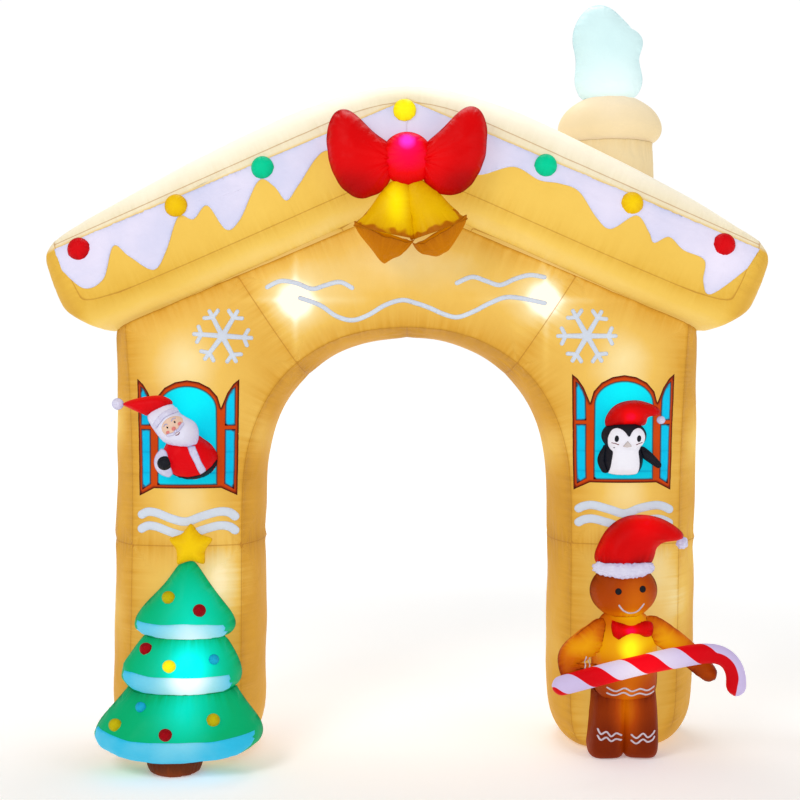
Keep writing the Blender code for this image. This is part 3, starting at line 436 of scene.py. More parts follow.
def on_roof_seam(edge):
    """The roof's seams: both edges of the fascia, the joint and the end panels."""
    (s0, h0), (s1, h1) = (roof_place(vertex.co) for vertex in edge.verts)
    if max(s0, s1) > ROOF_END_S + 0.002:
        return False
    for level in (ROOF_TOP_SEAM_H, ROOF_LOW_SEAM_H, 0.0):
        if abs(h0 - level) + abs(h1 - level) < 0.004:
            return True
    return abs(s0 - ROOF_END_S) + abs(s1 - ROOF_END_S) < 0.004


roof = smooth_skin("roof", on_roof_seam)
pucker(roof, depth=0.009, pitch=0.034, reach=0.028, slack=0.005)


def roof_painted_light(vertex):
    """How much painted light the roof has on top and underneath, and painted shade on its end
    panels.
    """
    down, above = roof_place(vertex.co)
    end = min(1.0, max(0.0, (down - ROOF_END_S + 0.02) / 0.05))
    rise = max(0.0, above - ROOF_TOP_SEAM_H) / 0.12
    under = min(1.0, max(0.0, (ROOF_LOW_SEAM_H - above) / 0.06))
    return 0.10 * above / ROOF_TOP_SEAM_H + 0.4 * rise + 0.30 * under - 0.25 * end


mark(roof, "roof_top", lambda vertex: 4.0 * (roof_place(vertex.co)[1] - ROOF_TOP_SEAM_H))
mark(roof, "roof_painted_light", roof_painted_light)
ROOF_GLOWS = ((0.28, 0.12, 0.010), (0.42, 0.25, 0.026), (0.51, 0.37, 0.080),
              (0.57, 0.49, 0.21))
ROOF_TOP_GLOWS = ((0.42, 0.28, 0.11), (0.48, 0.42, 0.29), (0.60, 0.58, 0.52))
roof_lamps = [((x, -0.45, 2.12), (0.34, 0.6, 0.22), 0.14) for x in (-0.60, 0.60)]
dress(roof, lit_cloth("cream cloth", (0.43, 0.25, 0.040), ROOF_GLOWS, roof_lamps, level=0.46,
                      mottle=0.28, seam_shade=0.20, pleat_reach=0.04, seam_dark=0.65,
                      thread=GOLD_THREAD, painted_light="roof_painted_light",
                      second=("roof_top", (0.46, 0.40, 0.28), ROOF_TOP_GLOWS)))


# ---------------------------------------------------------------- icing
# A strip of white cloth along each half of the fascia, cut in drips like melting icing and
# stitched flat on it.
def catmull(points, steps, closed=False):
    """Points along a smooth curve through the given ones."""
    count = len(points)
    made = []
    for i in range(count if closed else count - 1):
        around = []
        for k in (-1, 0, 1, 2):
            index = (i + k) % count if closed else min(max(i + k, 0), count - 1)
            around.append(Vector(points[index]))
        p0, p1, p2, p3 = around
        for step in range(steps):
            t = step / steps
            made.append(0.5 * (2 * p1 + (p2 - p0) * t + (2 * p0 - 5 * p1 + 4 * p2 - p3) * t * t
                               + (3 * p1 - p0 - 3 * p2 + p3) * t ** 3))
    if not closed:
        made.append(Vector(points[-1]))
    return made


LOOK_FROM_Y = -1.0                 # in front of everything, where cloth is laid from
TO_FRONT = Vector((0, 0.8, 0))     # from there to where cloth folds round an edge
RIM_SHARE = 0.35                   # the thickness of stuffed cloth at its very edge
CUT_SLACK = 0.00001
known_skins = {}


def skin_tree(*pieces):
    """A search tree of the pieces' skins, to lay cloth on them, made once for each set."""
    names = tuple(piece.name for piece in pieces)
    if names not in known_skins:
        corners, faces = [], []
        for piece in pieces:
            start = len(corners)
            corners += [vertex.co for vertex in piece.data.vertices]
            faces += [[start + corner for corner in face.vertices]
                      for face in piece.data.polygons]
        known_skins[names] = BVHTree.FromPolygons(corners, faces)
    return known_skins[names]


def lay_cloth(name, outlines, hosts, material, thickness=0.0012, lift=0.0005, step=0.012,
              dome=0.0, node=None):
    """Thin closed cloth cut to (x, z) outlines, laid from the front on its hosts' skins.

    dome is how far from its edge a stuffed one reaches its full thickness.
    """
    shape = bmesh.new()
    for outline in outlines:
        ring = [shape.verts.new((point[0], 0.0, point[1])) for point in outline]
        shape.faces.new(ring)
    sewn = shape.edges.layers.float.new("sewn")
    for edge in shape.edges:
        # the icings meet under the ridge without a line of stitching
        at_ridge = all(abs(vertex.co.x) < 0.001 for vertex in edge.verts)
        edge[sewn] = 0.0 if at_ridge else 1.0
    shape.normal_update()
    bmesh.ops.triangulate(shape, faces=shape.faces)
    for axis, way in ((0, Vector((1, 0, 0))), (2, Vector((0, 0, 1)))):
        low = min(vertex.co[axis] for vertex in shape.verts)
        high = max(vertex.co[axis] for vertex in shape.verts)
        for cut in range(1, int((high - low) / step) + 1):
            geom = shape.verts[:] + shape.edges[:] + shape.faces[:]
            bmesh.ops.bisect_plane(shape, geom=geom, dist=CUT_SLACK, plane_no=way,
                                   plane_co=way * (low + cut * step))
    tree = skin_tree(*hosts)
    outward = {}
    for vertex in shape.verts:
        start = Vector((vertex.co.x, LOOK_FROM_Y, vertex.co.z))
        spot, normal = tree.ray_cast(start, Vector((0, 1, 0)))[:2]
        if spot is None:
            spot, normal = tree.find_nearest(start + TO_FRONT)[:2]
        vertex.co = spot + normal * lift
        outward[tuple(vertex.co)] = normal
    area = sum(face.calc_area() for face in shape.faces)
    rim = [vertex.co.copy() for vertex in shape.verts if vertex.is_boundary]
    rim_tree = KDTree(len(rim))
    for number, spot in enumerate(rim):
        rim_tree.insert(spot, number)
    rim_tree.balance()
    made = bmesh.ops.extrude_face_region(shape, geom=shape.faces[:], use_keep_orig=True)["geom"]
    for vertex in (item for item in made if isinstance(item, bmesh.types.BMVert)):
        inside = rim_tree.find(vertex.co)[2] / max(dome, 0.0005)
        swell = math.sqrt(1.0 - (1.0 - min(1.0, inside)) ** 2)
        share = RIM_SHARE + (1.0 - RIM_SHARE) * swell
        vertex.co += outward[tuple(vertex.co)] * thickness * share
    bmesh.ops.recalc_face_normals(shape, faces=shape.faces)
    mesh = bpy.data.meshes.new(name)
    shape.to_mesh(mesh)
    shape.free()
    mesh.shade_smooth()
    piece = bpy.data.objects.new(name, mesh)
    bpy.context.scene.collection.objects.link(piece)
    measure_seams(piece)
    dress(piece, material)
    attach(piece, "root")
    if node:
        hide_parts(node)
    return piece


def slope_point(side, down, above):
    """The (x, z) of a place on the roof line, on the left (-1) or the right (1)."""
    x = down * math.cos(SLOPE) + above * math.sin(SLOPE)
    return side * x, GABLE_TOP_Z - down * math.sin(SLOPE) + above * math.cos(SLOPE)


# lower edge from the eave to the ridge: (down the slope, above the joint)
ICING_EDGES = {
    -1: ((1.335, 0.27), (1.285, 0.175), (1.20, 0.18), (1.115, 0.280), (1.075, 0.22),
         (1.01, 0.137), (0.93, 0.19), (0.84, 0.287), (0.79, 0.255), (0.72, 0.283), (0.69, 0.17),
         (0.62, 0.188), (0.50, 0.293), (0.453, 0.25), (0.43, 0.182), (0.36, 0.22),
         (0.22, 0.300), (0.13, 0.21)),
    1: ((1.315, 0.27), (1.23, 0.128), (1.18, 0.16), (1.15, 0.235), (1.06, 0.240), (0.99, 0.265),
        (0.945, 0.222), (0.91, 0.252), (0.84, 0.292), (0.77, 0.206), (0.70, 0.225),
        (0.60, 0.29), (0.52, 0.29), (0.44, 0.271), (0.33, 0.28), (0.22, 0.20), (0.12, 0.19)),
}
ICING_TOP_H = 0.360
ICING_GLOWS = ((0.26, 0.30, 0.46), (0.38, 0.36, 0.46), (0.50, 0.44, 0.50))
icing_cloth = lit_cloth("icing cloth", (0.42, 0.40, 0.48), ICING_GLOWS, level=0.5, mottle=1.1,
                        seam_shade=0.35, pleat_reach=0.010, seam_width=0.003, seam_dark=0.2)
for side, name in ((-1, "icing_left"), (1, "icing_right")):
    edge = catmull(ICING_EDGES[side], 8)
    outline = [slope_point(side, *place) for place in edge]
    outline.append((side * 0.0003, GABLE_TOP_Z + 0.20 / math.cos(SLOPE)))
    outline.append((side * 0.0003, GABLE_TOP_Z + ICING_TOP_H / math.cos(SLOPE)))
    outline.append(slope_point(side, ROOF_END_S - 0.002, ICING_TOP_H))
    lay_cloth(name + "_cloth", [outline], [roof], icing_cloth, thickness=0.005,
              step=0.010, node=name)


# ---------------------------------------------------------------- sweets
# Seven stuffed discs of red, yellow and green cloth, gathered at their rim and sewn over the
# icing.  They glow from the light behind them.
def turns_back(edge):
    """The rim seam of a stuffed shape: one face looks to the front and its neighbour away."""
    if not edge.is_manifold:
        return False
    first, second = edge.link_faces
    return first.normal.y * second.normal.y < 0 and edge.calc_face_angle(0.0) > 0.35


def stuff(node, cloth, depth, pitch, reach, slack=0.0, is_seam=turns_back):
    """A stuffed piece: its solid's skin, pleated along the seams, in its cloth."""
    piece = smooth_skin(node, is_seam)
    pucker(piece, depth, pitch, reach, slack)
    dress(piece, cloth)
    return piece


RED_GLOWS = ((0.12, 0.0, 0.001), (0.46, 0.0, 0.003), (0.85, 0.0, 0.008))
YELLOW_GLOWS = ((0.36, 0.15, 0.0), (0.50, 0.31, 0.0), (0.70, 0.60, 0.0), (1.0, 1.0, 0.05))
GREEN_GLOWS = ((0.0, 0.20, 0.08), (0.0, 0.50, 0.26), (0.0, 0.75, 0.45))
red_cloth = lit_cloth("red cloth", (0.29, 0.001, 0.002), RED_GLOWS, level=0.54,
                      seam_shade=0.4)
yellow_cloth = lit_cloth("yellow cloth", (0.44, 0.27, 0.003), YELLOW_GLOWS, seam_shade=0.4)
green_cloth = lit_cloth("green cloth", (0.0, 0.14, 0.06), GREEN_GLOWS, level=0.62,
                        seam_shade=0.4)
bright_yellow_cloth = lit_cloth("bright yellow cloth", (0.44, 0.40, 0.01), YELLOW_GLOWS,
                                level=0.80, seam_shade=0.4)
CANDY_CLOTHS = (red_cloth, yellow_cloth, green_cloth, bright_yellow_cloth, green_cloth,
                yellow_cloth, red_cloth)
for number, cloth in enumerate(CANDY_CLOTHS, start=1):
    stuff(f"candy_{number}", cloth, depth=0.003, pitch=0.010, reach=0.010)


# ---------------------------------------------------------------- the chimney
# A round stack of cream cloth with a fatter cap, its seams gathered, and a puff of smoke in
# pale blue cloth above it.
stack = smooth_skin("chimney_stack", seam_over(50))
cap = smooth_skin("chimney_cap", seam_over(50))
for piece in (stack, cap):
    pucker(piece, depth=0.010, pitch=0.028, reach=0.035, slack=0.004)
    dress(piece, lit_cloth(piece.name + " cloth", (0.43, 0.29, 0.10), ROOF_TOP_GLOWS,
                           [((0.83, 0.10, 2.66), (0.20, 0.4, 0.14), 0.45)], level=0.50,
                           mottle=0.3, seam_shade=0.30))
SMOKE_GLOWS = ((0.28, 0.42, 0.45), (0.40, 0.51, 0.52), (0.56, 0.58, 0.57))
smoke_cloth = lit_cloth("smoke cloth", (0.34, 0.47, 0.47), SMOKE_GLOWS,
                        [((0.83, 0.09, 2.70), (0.16, 0.3, 0.10), 0.5)], level=0.45,
                        seam_shade=0.3)
stuff("smoke", smoke_cloth, depth=0.008, pitch=0.035, reach=0.025, slack=0.012)


# ---------------------------------------------------------------- bow and bells
# Two full loops of red cloth gathered into a knot, and under it two golden bells with amber
# mouths.  A lamp inside the knot makes it glow pink.
def gather(piece, centre, depth, folds, reach):
    """Folds that run out from a place on the front and fade with the distance."""
    for vertex in piece.data.vertices:
        x, z = vertex.co.x - centre[0], vertex.co.z - centre[1]
        angle = math.atan2(z, x)
        spot = Vector((math.cos(angle), math.sin(angle), 0.3 * centre[0])) * folds
        fade = math.exp(-math.hypot(x, z) / reach)
        vertex.co += vertex.normal * depth * fade * noise.noise(spot)


BOW_GLOWS = ((0.07, 0.0, 0.0), (0.30, 0.0, 0.0), (0.66, 0.0, 0.001), (0.80, 0.0, 0.10),
             (1.0, 0.04, 0.75))
bow_cloth = lit_cloth("bow cloth", (0.26, 0.0005, 0.001), BOW_GLOWS,
                      [((0.0, -0.36, 2.425), (0.045, 0.2, 0.040), 0.62),
                       ((0.0, -0.36, 2.35), (0.13, 0.2, 0.08), 0.30),
                       # painted shade on the lower parts of the loops
                       ((-0.21, -0.36, 2.24), (0.10, 0.2, 0.06), -0.22),
                       ((0.21, -0.36, 2.25), (0.10, 0.2, 0.06), -0.22)],
                      level=0.38, mottle=0.15, seam_shade=0.25, pleat_pitch=0.02)
KNOT_SPREAD = 1.3
for name, side in (("bow_left", -1), ("bow_right", 1), ("bow_knot", 0)):
    part = stuff(name, bow_cloth, depth=0.008, pitch=0.030, reach=0.022, slack=0.004)
    if side:
        gather(part, (side * 0.05, 2.345), depth=0.020, folds=5.0, reach=0.14)
    else:
        for vertex in part.data.vertices:
            vertex.co.x *= KNOT_SPREAD
AMBER = (0.28, 0.09, 0.0)
AMBER_GLOWS = ((0.22, 0.05, 0.0), (0.36, 0.12, 0.0), (0.46, 0.19, 0.0))
amber_cloth = lit_cloth("amber cloth", AMBER, AMBER_GLOWS)
bell_cloth = lit_cloth("bell cloth", (0.40, 0.22, 0.0), YELLOW_GLOWS,
                       [((-0.040, -0.36, 2.19), (0.045, 0.2, 0.10), 0.50)], level=0.24,
                       mottle=0.2, second=("scallop", AMBER, AMBER_GLOWS))
# where a bell's axis is, how much it swells, and its clapper: across, how wide, how deep
BELL_SHAPES = {"left": (-0.0875, 0.30, (-0.094, 0.022, 0.018)),
               "right": (0.1165, 0.22, (0.155, 0.024, 0.008))}
BELL_TOP_Z = 2.30
BELL_HEIGHT = 0.34
BELL_PRESS = 0.16                  # how much further a bell swells against the other one
HEM_DEPTH = 0.020
MOUTH_SAG = 0.046
MOUTH_TUCK = 0.020                 # how far the mouth is pushed up into the bell


def swell_bell(piece, axis_x, amount):
    """Rounds a bell's sides out from its axis, most at half its height and next to its twin."""
    for vertex in piece.data.vertices:
        share = min(1.0, max(0.0, (BELL_TOP_Z - vertex.co.z) / BELL_HEIGHT))
        growth = 1.0 + amount * math.sin(math.pi * share) - 0.08 * share
        if (vertex.co.x > axis_x) == (axis_x < 0):
            growth += BELL_PRESS
        vertex.co.x = axis_x + (vertex.co.x - axis_x) * growth


def span(piece, axis):
    """The least and the greatest place of a piece along an axis."""
    places = [vertex.co[axis] for vertex in piece.data.vertices]
    return min(places), max(places)


def hang_clapper(mouth, across, width, depth):
    """Lets the mouth's cloth sag, most round the clapper inside it, and tucks it into the bell."""
    left, right = span(mouth, 0)
    low, high = span(mouth, 2)
    for vertex in mouth.data.vertices:
        share = (high - vertex.co.z) / (high - low)
        off_centre = (2 * vertex.co.x - left - right) / (right - left)
        sag = MOUTH_SAG * math.sqrt(max(0.0, 1.0 - off_centre ** 4))
        sag += depth * math.exp(-((vertex.co.x - across) / width) ** 2)
        sag += 0.010 * noise.noise(vertex.co * 30.0)
        vertex.co.z += MOUTH_TUCK * (1.0 - share) - sag * share


def mark_scallop(bell):
    """Marks the amber hem that shows along a bell's foot in a ragged line."""
    gaps = [item.value for item in bell.data.attributes["seam_distance"].data]
    middle = sum(span(bell, 2)) / 2

    def hem_at(vertex):
        if vertex.co.z >= middle:
            return -1.0
        hem = HEM_DEPTH * (1.0 + noise.noise(vertex.co * 38.0))
        return 6.0 * (hem - gaps[vertex.index])

    mark(bell, "scallop", hem_at)


for side in ("left", "right"):
    bell = stuff("bell_" + side, bell_cloth, depth=0.006, pitch=0.025, reach=0.020, slack=0.006)
    mouth = stuff("bell_mouth_" + side, amber_cloth, depth=0.006, pitch=0.020, reach=0.015,
                  slack=0.004, is_seam=seam_over(60))
    axis_x, amount, clapper = BELL_SHAPES[side]
    mark_scallop(bell)
    hang_clapper(mouth, *clapper)
    for piece in (bell, mouth):
        swell_bell(piece, axis_x, amount)


# ---------------------------------------------------------------- windows
# Each window is a printed panel stitched flat on the column: an orange frame with an arched
# head, blue panes and two open shutters.
WINDOW_SILL = 1.077
WINDOW_CENTRES = {"left": (-0.866, 0.0), "right": (0.856, 0.020)}
FRAME_LEFT_HALF = ((-0.131, 0.0), (-0.192, -0.032), (-0.204, 0.430), (-0.181, 0.411),
                   (-0.157, 0.375), (-0.1325, 0.316), (-0.1197, 0.361), (-0.0893, 0.396),
                   (-0.0469, 0.418), (0.0, 0.426))
PANE_HALF = 0.117
PANE_JOINT = 0.312
PANE_RISE = 0.092
SHUTTER_PANES = (((-0.190, 0.402), (-0.187, 0.246), (-0.146, 0.246), (-0.149, 0.335),
                  (-0.160, 0.366), (-0.175, 0.391)),
                 ((-0.1865, 0.232), (-0.180, -0.008), (-0.143, 0.016), (-0.146, 0.232)))
OVER_FRAME = 0.0021                # how far from the wall the panes' cloth starts
OUTLINE = (0.03, 0.001, 0.001)
frame_cloth = lit_cloth("frame print", (0.32, 0.030, 0.001),
                        ((0.12, 0.004, 0.001), (0.32, 0.032, 0.001), (0.50, 0.07, 0.003)),
                        level=0.5, seam_shade=0.0, seam_width=0.014, seam_dark=1.0,
                        thread=OUTLINE)
PANE_GLOWS = ((0.0, 0.20, 0.38), (0.0, 0.44, 0.56), (0.0, 0.75, 0.75))
# lamps behind the panes, and painted shade along the creases where the panel was folded for its
# box
WINDOW_LIGHT_AND_SHADE = [((-0.84, -0.2, 1.44), (0.12, 0.3, 0.12), 0.42),
                ((0.86, -0.2, 1.46), (0.12, 0.3, 0.12), 0.42)]
WINDOW_LIGHT_AND_SHADE += [((x, -0.2, z), (0.20, 0.3, reach), strength)
                 for x, z in ((-0.866, 1.137), (-0.866, 1.219), (0.856, 1.143), (0.856, 1.222))
                 for reach, strength in ((0.0035, -0.34), (0.014, -0.08))]
pane_cloth = lit_cloth("pane print", (0.0, 0.26, 0.34), PANE_GLOWS, WINDOW_LIGHT_AND_SHADE, level=0.40,
                       seam_shade=0.0, seam_width=0.010, seam_dark=1.0, thread=OUTLINE)
shutter_cloth = lit_cloth("shutter print", (0.0, 0.24, 0.38),
                          ((0.0, 0.14, 0.28), (0.0, 0.33, 0.52), (0.0, 0.50, 0.62)),
                          WINDOW_LIGHT_AND_SHADE, level=0.5, seam_shade=0.0, seam_width=0.010,
                          seam_dark=1.0, thread=OUTLINE)


def moved(outline, centre, mirror=False):
    """A window's outline put in its place on the wall."""
    side = -1 if mirror else 1
    return [(centre[0] + side * x, WINDOW_SILL + centre[1] + z) for x, z in outline]


for name, centre in WINDOW_CENTRES.items():
    half = list(FRAME_LEFT_HALF)
    outline = half + [(-x, z) for x, z in half[-2::-1]]
    lay_cloth(f"window_{name}_frame", [moved(outline, centre)], [wall],
              frame_cloth, node="window_" + name)
    arch = []
    for degrees in range(0, 181, 12):
        angle = math.radians(degrees)
        arch.append((PANE_HALF * math.cos(angle), PANE_JOINT + PANE_RISE * math.sin(angle)))
    pane = arch + [(-PANE_HALF, 0.012), (PANE_HALF, 0.012)]
    lay_cloth(f"window_{name}_pane", [moved(pane, centre)], [wall], pane_cloth,
              thickness=0.0008, lift=OVER_FRAME)
    shutters = [moved(shutter, centre, mirror) for shutter in SHUTTER_PANES
                for mirror in (False, True)]
    lay_cloth(f"window_{name}_shutters", shutters, [wall], shutter_cloth,
              thickness=0.0008, lift=OVER_FRAME)


# ---------------------------------------------------------------- icing lines
# Wavy lines and two snowflakes of white cloth, stitched flat on the gable and the columns like
# piped icing.
def strip(path, width, steps=6):
    """The outline of a band of one width along a smooth path, with round ends."""
    line = catmull(path, steps)
    left, right = [], []
    for number, spot in enumerate(line):
        ahead = line[min(number + 1, len(line) - 1)] - line[max(number - 1, 0)]
        side = Vector((-ahead.y, ahead.x)).normalized() * (width / 2)
        left.append(spot + side)
        right.append(spot - side)
    caps = []
    for end, ahead in ((line[-1], line[-1] - line[-2]), (line[0], line[0] - line[1])):
        ahead = ahead.normalized() * (width / 2)
        side = Vector((-ahead.y, ahead.x))
        turns = [math.radians(degrees) for degrees in (30, 60, 90, 120, 150)]
        caps.append([end + ahead * math.sin(turn) + side * math.cos(turn) for turn in turns])
    return left + caps[0] + right[::-1] + caps[1]


GABLE_LINE_WIDTH = 0.018
GABLE_LINES = (
    ((-0.553, 1.870), (-0.501, 1.894), (-0.438, 1.886), (-0.375, 1.863), (-0.320, 1.878),
     (-0.265, 1.890), (-0.217, 1.867)),
    ((0.197, 1.886), (0.257, 1.910), (0.312, 1.894), (0.367, 1.878), (0.426, 1.902),
     (0.486, 1.918), (0.545, 1.910)),
    ((-0.422, 1.827), (-0.344, 1.799), (-0.280, 1.756), (-0.217, 1.740), (-0.154, 1.760),
     (-0.087, 1.799), (-0.020, 1.819), (0.036, 1.807), (0.091, 1.788), (0.146, 1.764),
     (0.201, 1.752), (0.268, 1.776), (0.328, 1.807), (0.407, 1.831), (0.545, 1.807)),
)
COLUMN_LINE_WIDTH = 0.034
COLUMN_LINE_GAP = 0.055
COLUMN_LINES = {
    "left": ((-1.050, 0.970), (-1.022, 0.983), (-0.982, 0.979), (-0.927, 0.959),
             (-0.868, 0.947), (-0.809, 0.967), (-0.746, 0.983), (-0.706, 0.979),
             (-0.682, 0.962)),
    "right": ((0.684, 0.990), (0.706, 1.002), (0.742, 1.006), (0.801, 0.991), (0.860, 0.975),
              (0.919, 0.995), (0.978, 1.006), (1.014, 1.002), (1.045, 0.987)),
}
# half an arm of a snowflake, out from its middle and across: side, prong and round tip
FLAKE_ARM = ((0.0785, 0.0090), (0.0905, 0.0345), (0.0965, 0.0385), (0.1035, 0.0365),
             (0.1065, 0.0300), (0.0958, 0.0085), (0.1150, 0.0080), (0.1200, 0.0040))
FLAKE_HUB = 0.021
FLAKES = {"left": ((-0.727, 1.677), (-4, 60, 119, 176, 233, 298)),
          "right": ((0.709, 1.677), (0, 58, 118, 180, 240, 300))}


def flake_outline(centre, turns):
    """A snowflake of six arms, each with a prong to either side near its tip."""
    outline = []
    for number, degrees in enumerate(turns):
        before = turns[number - 1] - (360 if number == 0 else 0)
        corner = math.radians((before + degrees) / 2)
        outline.append((centre[0] + FLAKE_HUB * math.cos(corner),
                        centre[1] + FLAKE_HUB * math.sin(corner)))
        turn = math.radians(degrees)
        for out, across in [(u, -v) for u, v in FLAKE_ARM] + list(FLAKE_ARM[::-1]):
            outline.append((centre[0] + out * math.cos(turn) - across * math.sin(turn),
                            centre[1] + out * math.sin(turn) + across * math.cos(turn)))
    return outline


line_cloth = lit_cloth("line cloth", (0.38, 0.40, 0.45),
                       ((0.24, 0.26, 0.33), (0.33, 0.37, 0.41), (0.45, 0.43, 0.45)),
                       mottle=0.8, seam_shade=0.15, pleat_reach=0.004, seam_width=0.0015,
                       seam_dark=0.12)
lay_cloth("gable_lines", [strip(path, GABLE_LINE_WIDTH) for path in GABLE_LINES], [wall],
          line_cloth)
for name, path in COLUMN_LINES.items():
    pair = [[(x, z - drop) for x, z in path] for drop in (0.0, COLUMN_LINE_GAP)]
    lay_cloth(f"column_lines_{name}", [strip(path, COLUMN_LINE_WIDTH) for path in pair], [wall],
              line_cloth)
for name, (centre, turns) in FLAKES.items():
    lay_cloth(f"snowflake_{name}", [flake_outline(centre, turns)], [wall],
              line_cloth)


# ---------------------------------------------------------------- the doll in the left window
# A stuffed doll in a red coat and hat leans out: a soft head with white hair and beard, a
# black mitten in a white cuff.
WHITE_GLOWS = ((0.20, 0.18, 0.38), (0.36, 0.35, 0.45), (0.52, 0.50, 0.55))
white_cloth = lit_cloth("white cloth", (0.45, 0.44, 0.48), WHITE_GLOWS, seam_shade=0.4)
BLACK_GLOWS = ((0.0, 0.0, 0.001), (0.003, 0.003, 0.006), (0.03, 0.03, 0.05))
black_cloth = lit_cloth("black cloth", (0.012, 0.012, 0.016), BLACK_GLOWS, seam_shade=0.3)
DOLL_CLOTHS = {
    "santa_body": red_cloth, "santa_head": white_cloth, "santa_hat": red_cloth,
    "santa_pompom": white_cloth, "santa_cuff": white_cloth, "santa_mitten": black_cloth,
}
doll = {name: stuff(name, cloth, depth=0.004, pitch=0.016, reach=0.012, slack=0.002)
        for name, cloth in DOLL_CLOTHS.items()}


def resize(piece, size):
    """Makes a piece larger or smaller about its own middle, seen from the front."""
    for axis in (0, 2):
        middle = sum(span(piece, axis)) / 2
        for vertex in piece.data.vertices:
            vertex.co[axis] = middle + (vertex.co[axis] - middle) * size


# the cuff stands round the mitten, both in front of the coat
for name, size, forward in (("santa_cuff", 1.8, 0.020), ("santa_mitten", 1.15, 0.030)):
    resize(doll[name], size)
    for vertex in doll[name].data.vertices:
        vertex.co.y -= forward
DOLL_STRIPE = ((-0.8536, 1.250), (-0.8245, 1.250), (-0.8052, 1.211), (-0.7842, 1.163),
               (-0.7842, 1.150), (-0.8052, 1.138), (-0.8213, 1.182), (-0.8407, 1.2175))
DOLL_BELT = ((-0.7486, 1.1917), (-0.7631, 1.1691), (-0.7825, 1.1529), (-0.8052, 1.1367),
             (-0.8536, 1.1270), (-0.8989, 1.1303), (-0.9280, 1.1432), (-0.9442, 1.1513),
             (-0.9500, 1.1460), (-0.9330, 1.1340), (-0.9020, 1.1190), (-0.8560, 1.1140),
             (-0.8060, 1.1190), (-0.7730, 1.1360), (-0.7500, 1.1600), (-0.7420, 1.1850))
coat = doll["santa_body"]
lay_cloth("doll_stripe", [DOLL_STRIPE], [coat], white_cloth, step=0.008)
lay_cloth("doll_belt", [DOLL_BELT], [coat], black_cloth, step=0.008)
# the face, drawn upright about its own middle and tilted with the head
FACE_CENTRE = (-0.901, 1.3255)
FACE_TILT = math.radians(37)


def on_face(outline):
    """An upright outline tilted and put on the doll's head."""
    turned = []
    for across, up in outline:
        x = across * math.cos(FACE_TILT) - up * math.sin(FACE_TILT)
        z = across * math.sin(FACE_TILT) + up * math.cos(FACE_TILT)
        turned.append((FACE_CENTRE[0] + x, FACE_CENTRE[1] + z))
    return turned


def oval(across, up, half_width, half_height, count=20):
    """An upright oval outline."""
    turns = [math.tau * step / count for step in range(count)]
    return [(across + half_width * math.cos(turn), up + half_height * math.sin(turn))
            for turn in turns]


skin_cloth = lit_cloth("skin cloth", (0.46, 0.33, 0.25),
                       ((0.30, 0.16, 0.12), (0.42, 0.29, 0.22), (0.50, 0.42, 0.36)),
                       seam_shade=0.2, seam_width=0.0015, seam_dark=0.2)
cheek_cloth = lit_cloth("cheek cloth", (0.42, 0.14, 0.12),
                        ((0.30, 0.05, 0.05), (0.42, 0.12, 0.11), (0.50, 0.22, 0.20)),
                        seam_shade=0.2, seam_width=0.001, seam_dark=0.1)
lip_cloth = lit_cloth("lip cloth", (0.20, 0.01, 0.015),
                      ((0.05, 0.0, 0.0), (0.12, 0.003, 0.006), (0.25, 0.01, 0.02)),
                      seam_width=0.0005)
head = doll["santa_head"]
FACE_PARTS = (
    ("skin", [oval(0.0, 0.006, 0.043, 0.034)], skin_cloth, 0.0012, 0.0005, 0.004),
    ("eyes", [oval(side * 0.0165, 0.012, 0.0032, 0.0044, 12) for side in (-1, 1)], black_cloth,
     0.0012, 0.0019, 0.002),
    ("brows", [strip([(side * 0.010, 0.0225), (side * 0.017, 0.0265), (side * 0.025, 0.0235)],
                     0.0042) for side in (-1, 1)], white_cloth, 0.0016, 0.0019, 0.002),
    ("cheeks", [oval(side * 0.027, -0.004, 0.0075, 0.0065, 14) for side in (-1, 1)],
     cheek_cloth, 0.0010, 0.0019, 0.003),
    ("moustache", [strip([(0.0, -0.019), (side * 0.012, -0.021), (side * 0.026, -0.0155),
                          (side * 0.034, -0.0125)], 0.011) for side in (-1, 1)], white_cloth,
     0.0050, 0.0012, 0.006),
    ("nose", [oval(0.0, -0.006, 0.0078, 0.0072, 16)], cheek_cloth, 0.0085, 0.0019, 0.008),
    ("mouth", [strip([(-0.0085, -0.0315), (0.0, -0.0345), (0.0085, -0.0315)], 0.0034)],
     lip_cloth, 0.0010, 0.0005, 0.002),
)
for name, outlines, cloth, thickness, lift, dome in FACE_PARTS:
    lay_cloth("doll_" + name, [on_face(outline) for outline in outlines], [head],
              cloth, thickness=thickness, lift=lift, step=0.003, dome=dome)
lay_cloth("doll_fur", [on_face(strip([(-0.052, 0.0465), (0.0, 0.0575), (0.052, 0.0465)], 0.021))],
          [head], white_cloth, thickness=0.006, step=0.006, dome=0.009)


